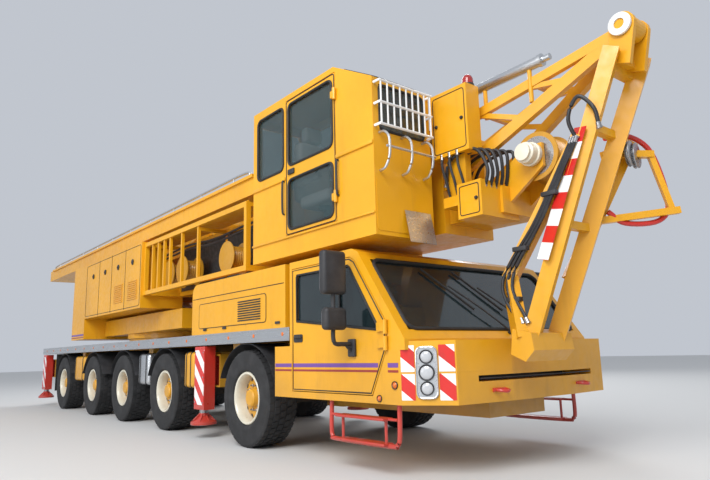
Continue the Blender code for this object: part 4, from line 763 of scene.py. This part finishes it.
top, foot = np.array((7.02, -0.290, 2.83)), np.array((6.67, -0.465, 1.74))
slope = (foot - top) / np.linalg.norm(foot - top)
across = np.cross(slope, (-0.28, -0.93, 0.24))
across /= np.linalg.norm(across)
face = np.cross(across, slope)
face = face if face[1] < 0 else -face
shift = face * 0.072
board = [top + across * 0.075 + shift, foot + across * 0.075 + shift, foot - across * 0.075 + shift, top - across * 0.075 + shift]
piece("strut_warning_board", plate(board, 0.004, face), strut_bands, "strut", False)
for index, offset in enumerate((-0.05, 0.0, 0.05)):
    start, end = np.array((6.46, -0.60, 1.22)), np.array((6.96, -0.40, 2.76))
    hose("strut_hose_%d" % (index + 1), [start + (offset, 0, 0.02), (6.30 + offset, -0.555, 1.62), (6.62 + offset * 0.6, -0.49, 2.12), end + (offset * 0.5, 0.0, 0.0)], 0.015, "strut")
hose("strut_top_hose_loop", [(6.98, -0.36, 2.70), (6.93, -0.42, 2.92), (7.02, -0.40, 3.10), (7.13, -0.36, 2.98), (7.15, -0.33, 2.80)], 0.017, "strut")
clamps = [cushioned_block((x - 0.07, y - 0.030, z - 0.02), (x + 0.07, y + 0.030, z + 0.02), 0.006) for x, y, z in ((6.36, -0.560, 1.45), (6.44, -0.530, 1.88), (6.72, -0.460, 2.32))]
piece("strut_hose_clamps", clamps, black_plastic, "strut")
piece("strut_rope_sheaves", [ring([(r * 0.75, h) for r, h in sheave], (7.10, y, 2.70), (1, 0.2, 0), 28) for y in (0.24, 0.34)], steel, "strut")
red_frame = [tube(smooth_path(((6.95, 0.12, 2.86), (7.02, 0.40, 2.92), (7.14, 0.56, 2.76), (7.22, 0.60, 2.30), (7.16, 0.52, 2.12), (6.98, 0.28, 2.10), (6.90, 0.14, 2.20)), 6), 0.024, 12)]
piece("strut_red_guard", red_frame, red_paint, "strut")


# ---- operator's cab ----------------------------------------------------------------------
y = -SKIN
side_pane("operator_rear", rounded_outline(3.405, 3.975, 3.065, 3.815, 0.07), y, -1, teal_glass, "operator_cab")
side_pane("operator_door_upper", rounded_outline(4.075, 4.895, 3.085, 3.805, 0.07), y, -1, teal_glass, "operator_cab_door")
side_pane("operator_door_lower", rounded_outline(4.075, 4.895, 2.365, 2.925, 0.07), y, -1, teal_glass, "operator_cab_door")
piece("operator_door_seal", hoop(on_side(rounded_outline(4.037, 4.933, 2.317, 3.853, 0.03), y - 0.0005), (0, 1, 0), 0.006), seal_rubber, "operator_cab_door")
front = [(5.512, u, v) for u, v in rounded_outline(-1.285, -0.705, 3.085, 3.535, 0.05)]
piece("operator_front_glass", plate(front, 0.006, (1, 0, 0)), teal_glass, "operator_cab", False)
piece("operator_front_seal", hoop([(5.521, u, v) for _, u, v in front], (1, 0, 0), 0.014), seal_rubber, "operator_cab")
rear = [(3.312, u, v) for u, v in rounded_outline(-1.265, -0.725, 3.065, 3.775, 0.05)]
piece("operator_back_glass", plate(rear, 0.006, (1, 0, 0)), teal_glass, "operator_cab", False)
inner_face = [(x, -0.632, z) for x, z in rounded_outline(3.505, 4.895, 3.065, 3.775, 0.05)]
piece("operator_left_glass", plate(inner_face, 0.006, (0, -1, 0)), teal_glass, "operator_cab", False)
slant = np.array((0.60, 0.0, -0.33)) / math.hypot(0.60, 0.33)
slant_out = np.array((0.33, 0.0, 0.60)) / math.hypot(0.60, 0.33)
roof_glass = [np.array((4.92, u, 3.93)) + slant * v + slant_out * 0.001 for u, v in rounded_outline(-1.29, -0.70, 0.06, 0.62, 0.06)]
piece("operator_roof_glass", plate(roof_glass, 0.006, slant_out), teal_glass, "operator_cab", False)
piece("operator_roof_seal", hoop(roof_glass, slant_out, 0.012), seal_rubber, "operator_cab")
ledges = [cushioned_block((3.302, y - 0.020, 2.935), (4.020, y + 0.012, 2.975), 0.008), cushioned_block((4.955, y - 0.020, 2.935), (5.518, y + 0.012, 2.975), 0.008),
          cushioned_block((3.302, y - 0.020, 2.275), (5.518, y + 0.012, 2.298), 0.006)]
piece("operator_cab_ledges", ledges, yellow, "operator_cab")
bars = [tube(((5.60, u, 3.11), (5.60, u, 3.54)), 0.009, 8) for u in np.linspace(-1.33, -0.68, 9)]
hoops = [tube(((5.525, -1.35, z), (5.60, -1.35, z), (5.60, -0.66, z), (5.525, -0.66, z)), 0.013, 10) for z in (3.11, 3.325, 3.54)]
piece("operator_front_guard", bars + hoops, white_paint, "operator_cab")
handles = [tube(smooth_path(((3.99, y - 0.006, 2.55), (3.99, y - 0.028, 2.60), (3.99, y - 0.028, 2.90), (3.99, y - 0.006, 2.93))), 0.011),
           tube(smooth_path(((4.985, y - 0.006, 2.55), (4.985, y - 0.028, 2.60), (4.985, y - 0.028, 2.88), (4.985, y - 0.006, 2.915))), 0.011)]
piece("operator_cab_grab_rails", handles, black_plastic, "operator_cab")
lever = [cushioned_block((4.08, y - 0.020, 2.98), (4.20, y + 0.001, 3.04), 0.008)]
piece("operator_door_handle", lever, black_plastic, "operator_cab_door")
lower_face = plate([(5.5205, u, v) for u, v in rounded_outline(-1.35, -0.88, 2.12, 2.62, 0.03)], 0.004, (1, 0, 0))
piece("operator_lower_front_panel", lower_face, yellow, "operator_cab")
brackets = [tube(smooth_path(((5.526, u, 2.68), (5.60, u, 2.70), (5.66, u, 2.80), (5.66, u, 2.96), (5.60, u, 3.04), (5.526, u, 3.05))), 0.013) for u in (-1.30, -1.02, -0.74)]
piece("operator_platform_brackets", brackets + [tube(((5.66, -1.33, 2.88), (5.66, -0.70, 2.88)), 0.012)], aluminium, "operator_cab")
seat = [cushioned_block((4.05, -1.22, 2.62), (4.60, -0.78, 2.76), 0.05, 4), cushioned_block((3.92, -1.22, 2.72), (4.08, -0.78, 3.42), 0.06, 4),
        cushioned_block((3.94, -1.12, 3.44), (4.06, -0.88, 3.62), 0.04, 4), cushioned_block((4.10, -1.29, 2.86), (4.52, -1.23, 2.93), 0.02, 3),
        cushioned_block((4.10, -0.77, 2.86), (4.52, -0.71, 2.93), 0.02, 3)]
piece("operator_seat", seat, white_paint, "operator_cab")
stem = [(0.0, 0.0), (0.17, 0.0), (0.17, 0.02), (0.06, 0.05), (0.055, 0.45), (0.12, 0.48), (0.0, 0.48)]
sticks = [tube(((4.45, u, 2.93), (4.47, u, 3.06)), 0.012) for u in (-1.26, -0.74)]
piece("operator_seat_stem", [lathe(stem, (4.32, -1.0, 2.133), (0, 0, 1), 24)] + sticks, black_plastic, "operator_cab")
flap = [(x, y, z) for x, y, z in ((5.535, -1.02, 2.34), (5.535, -0.68, 2.34), (5.60, -0.68, 2.03), (5.60, -1.02, 2.03))]
piece("operator_mud_flap", plate(flap, 0.006, (1, 0, 0.2)), aluminium, "operator_cab", False)
pipes = [tube(smooth_path(((3.20, u, 2.94), (3.19, u, 3.10), (3.18, u, 3.30), (3.10, u, 3.37), (2.96, u, 3.38)), 6), 0.022, 12) for u in (-0.575, -0.50)]
piece("upper_pipes", pipes, aluminium, "tower_outer")


# ---- chassis fittings --------------------------------------------------------------------
for name, side in SIDES:
    for index, (x0, x1) in enumerate(((-0.52, -0.08), (1.28, 1.60), (-4.32, -3.62))):
        shell = cushioned_block((x0, min(side * 0.88, side * 1.32), 0.62), (x1, max(side * 0.88, side * 1.32), 1.10), 0.05, 5)
        piece("side_tank_%d_%s" % (index + 1, name), shell, yellow if index else aluminium, "root")
        straps = [hoop([(x, u, v) for u, v in rounded_outline(min(side * 0.88, side * 1.32) - 0.003, max(side * 0.88, side * 1.32) + 0.003, 0.617, 1.103, 0.05)], (1, 0, 0), 0.008)
                  for x in (x0 + 0.09, x1 - 0.09)]
        piece("side_tank_straps_%d_%s" % (index + 1, name), straps, black_plastic, "root")
        piece("side_tank_hangers_%d_%s" % (index + 1, name), [tube(((x, side * 1.10, 1.09), (x, side * 1.10, 1.222)), 0.02) for x in (x0 + 0.09, x1 - 0.09)], black_plastic, "root")
    flaps = plate([(-5.78, side * u, v) for u, v in ((0.98, 0.36), (1.34, 0.36), (1.34, 1.17), (0.98, 1.17))], 0.008, (-1, 0, 0))
    piece("mud_flap_" + name, flaps, seal_rubber, "root", False)
    rear_lamps = ((-7.00, side * 1.12, amber_lens), (-7.00, side * 1.00, red_lens), (-7.00, side * 0.88, red_lens))
    low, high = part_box("deck")
    for index, (x, u, lens) in enumerate(rear_lamps):
        lamp("tail_lamp_%d_%s" % (index + 1, name), (low.x - 0.004, u, 1.245), (-1, 0, 0), 0.036, lens, "root", 0.006)


# ---- stage -------------------------------------------------------------------------------
def studio():
    """Pale floor, soft sky and area lights, and a camera low at the right front quarter."""
    floor_mesh = bpy.data.meshes.new("studio_floor")
    reach = 60.0
    floor_mesh.from_pydata([(-reach, -reach, 0), (reach, -reach, 0), (reach, reach, 0), (-reach, reach, 0)], [], [(0, 1, 2, 3)])
    floor = bpy.data.objects.new("studio_floor", floor_mesh)
    bpy.context.scene.collection.objects.link(floor)
    material, nodes, links, shader = base_material("studio_floor_finish", 0.8)
    shader.inputs["Base Color"].default_value = (0.62, 0.62, 0.61, 1)
    floor.data.materials.append(material)
    world = bpy.data.worlds.new("studio_sky")
    bpy.context.scene.world = world
    world.use_nodes = True
    world.node_tree.nodes["Background"].inputs["Color"].default_value = (0.86, 0.91, 1.0, 1)
    world.node_tree.nodes["Background"].inputs["Strength"].default_value = 0.62
    for name, place, target, size, power in (("key", (12, -14, 14), (1, 0, 1.5), 10, 3600), ("fill", (2, -18, 6), (0, 0, 1.5), 10, 900), ("back", (-8, 12, 12), (0, 0, 2), 8, 1200)):
        light = bpy.data.lights.new("studio_" + name, "AREA")
        light.energy = power
        light.size = size
        holder = bpy.data.objects.new("studio_" + name, light)
        bpy.context.scene.collection.objects.link(holder)
        holder.location = place
        holder.rotation_euler = (Vector(target) - Vector(place)).to_track_quat("-Z", "Y").to_euler()
    lens = bpy.data.cameras.new("studio_camera")
    lens.lens = 30.8
    lens.sensor_width = 36
    lens.clip_end = 200
    camera = bpy.data.objects.new("studio_camera", lens)
    bpy.context.scene.collection.objects.link(camera)
    yaw, pitch, roll = math.radians(140.98), math.radians(10.54), math.radians(-1.42)
    look = np.array((math.cos(yaw) * math.cos(pitch), math.sin(yaw) * math.cos(pitch), math.sin(pitch)))
    level = np.cross(look, (0, 0, 1))
    level /= np.linalg.norm(level)
    rise = np.cross(level, look)
    right = math.cos(roll) * level + math.sin(roll) * rise
    up = -math.sin(roll) * level + math.cos(roll) * rise
    turn = Matrix(np.stack((right, up, -look), 1).tolist()).to_4x4()
    camera.matrix_world = Matrix.Translation((9.553, -4.886, 1.033)) @ turn
    bpy.context.scene.camera = camera
    bpy.context.scene.view_settings.view_transform = "Standard"


studio()
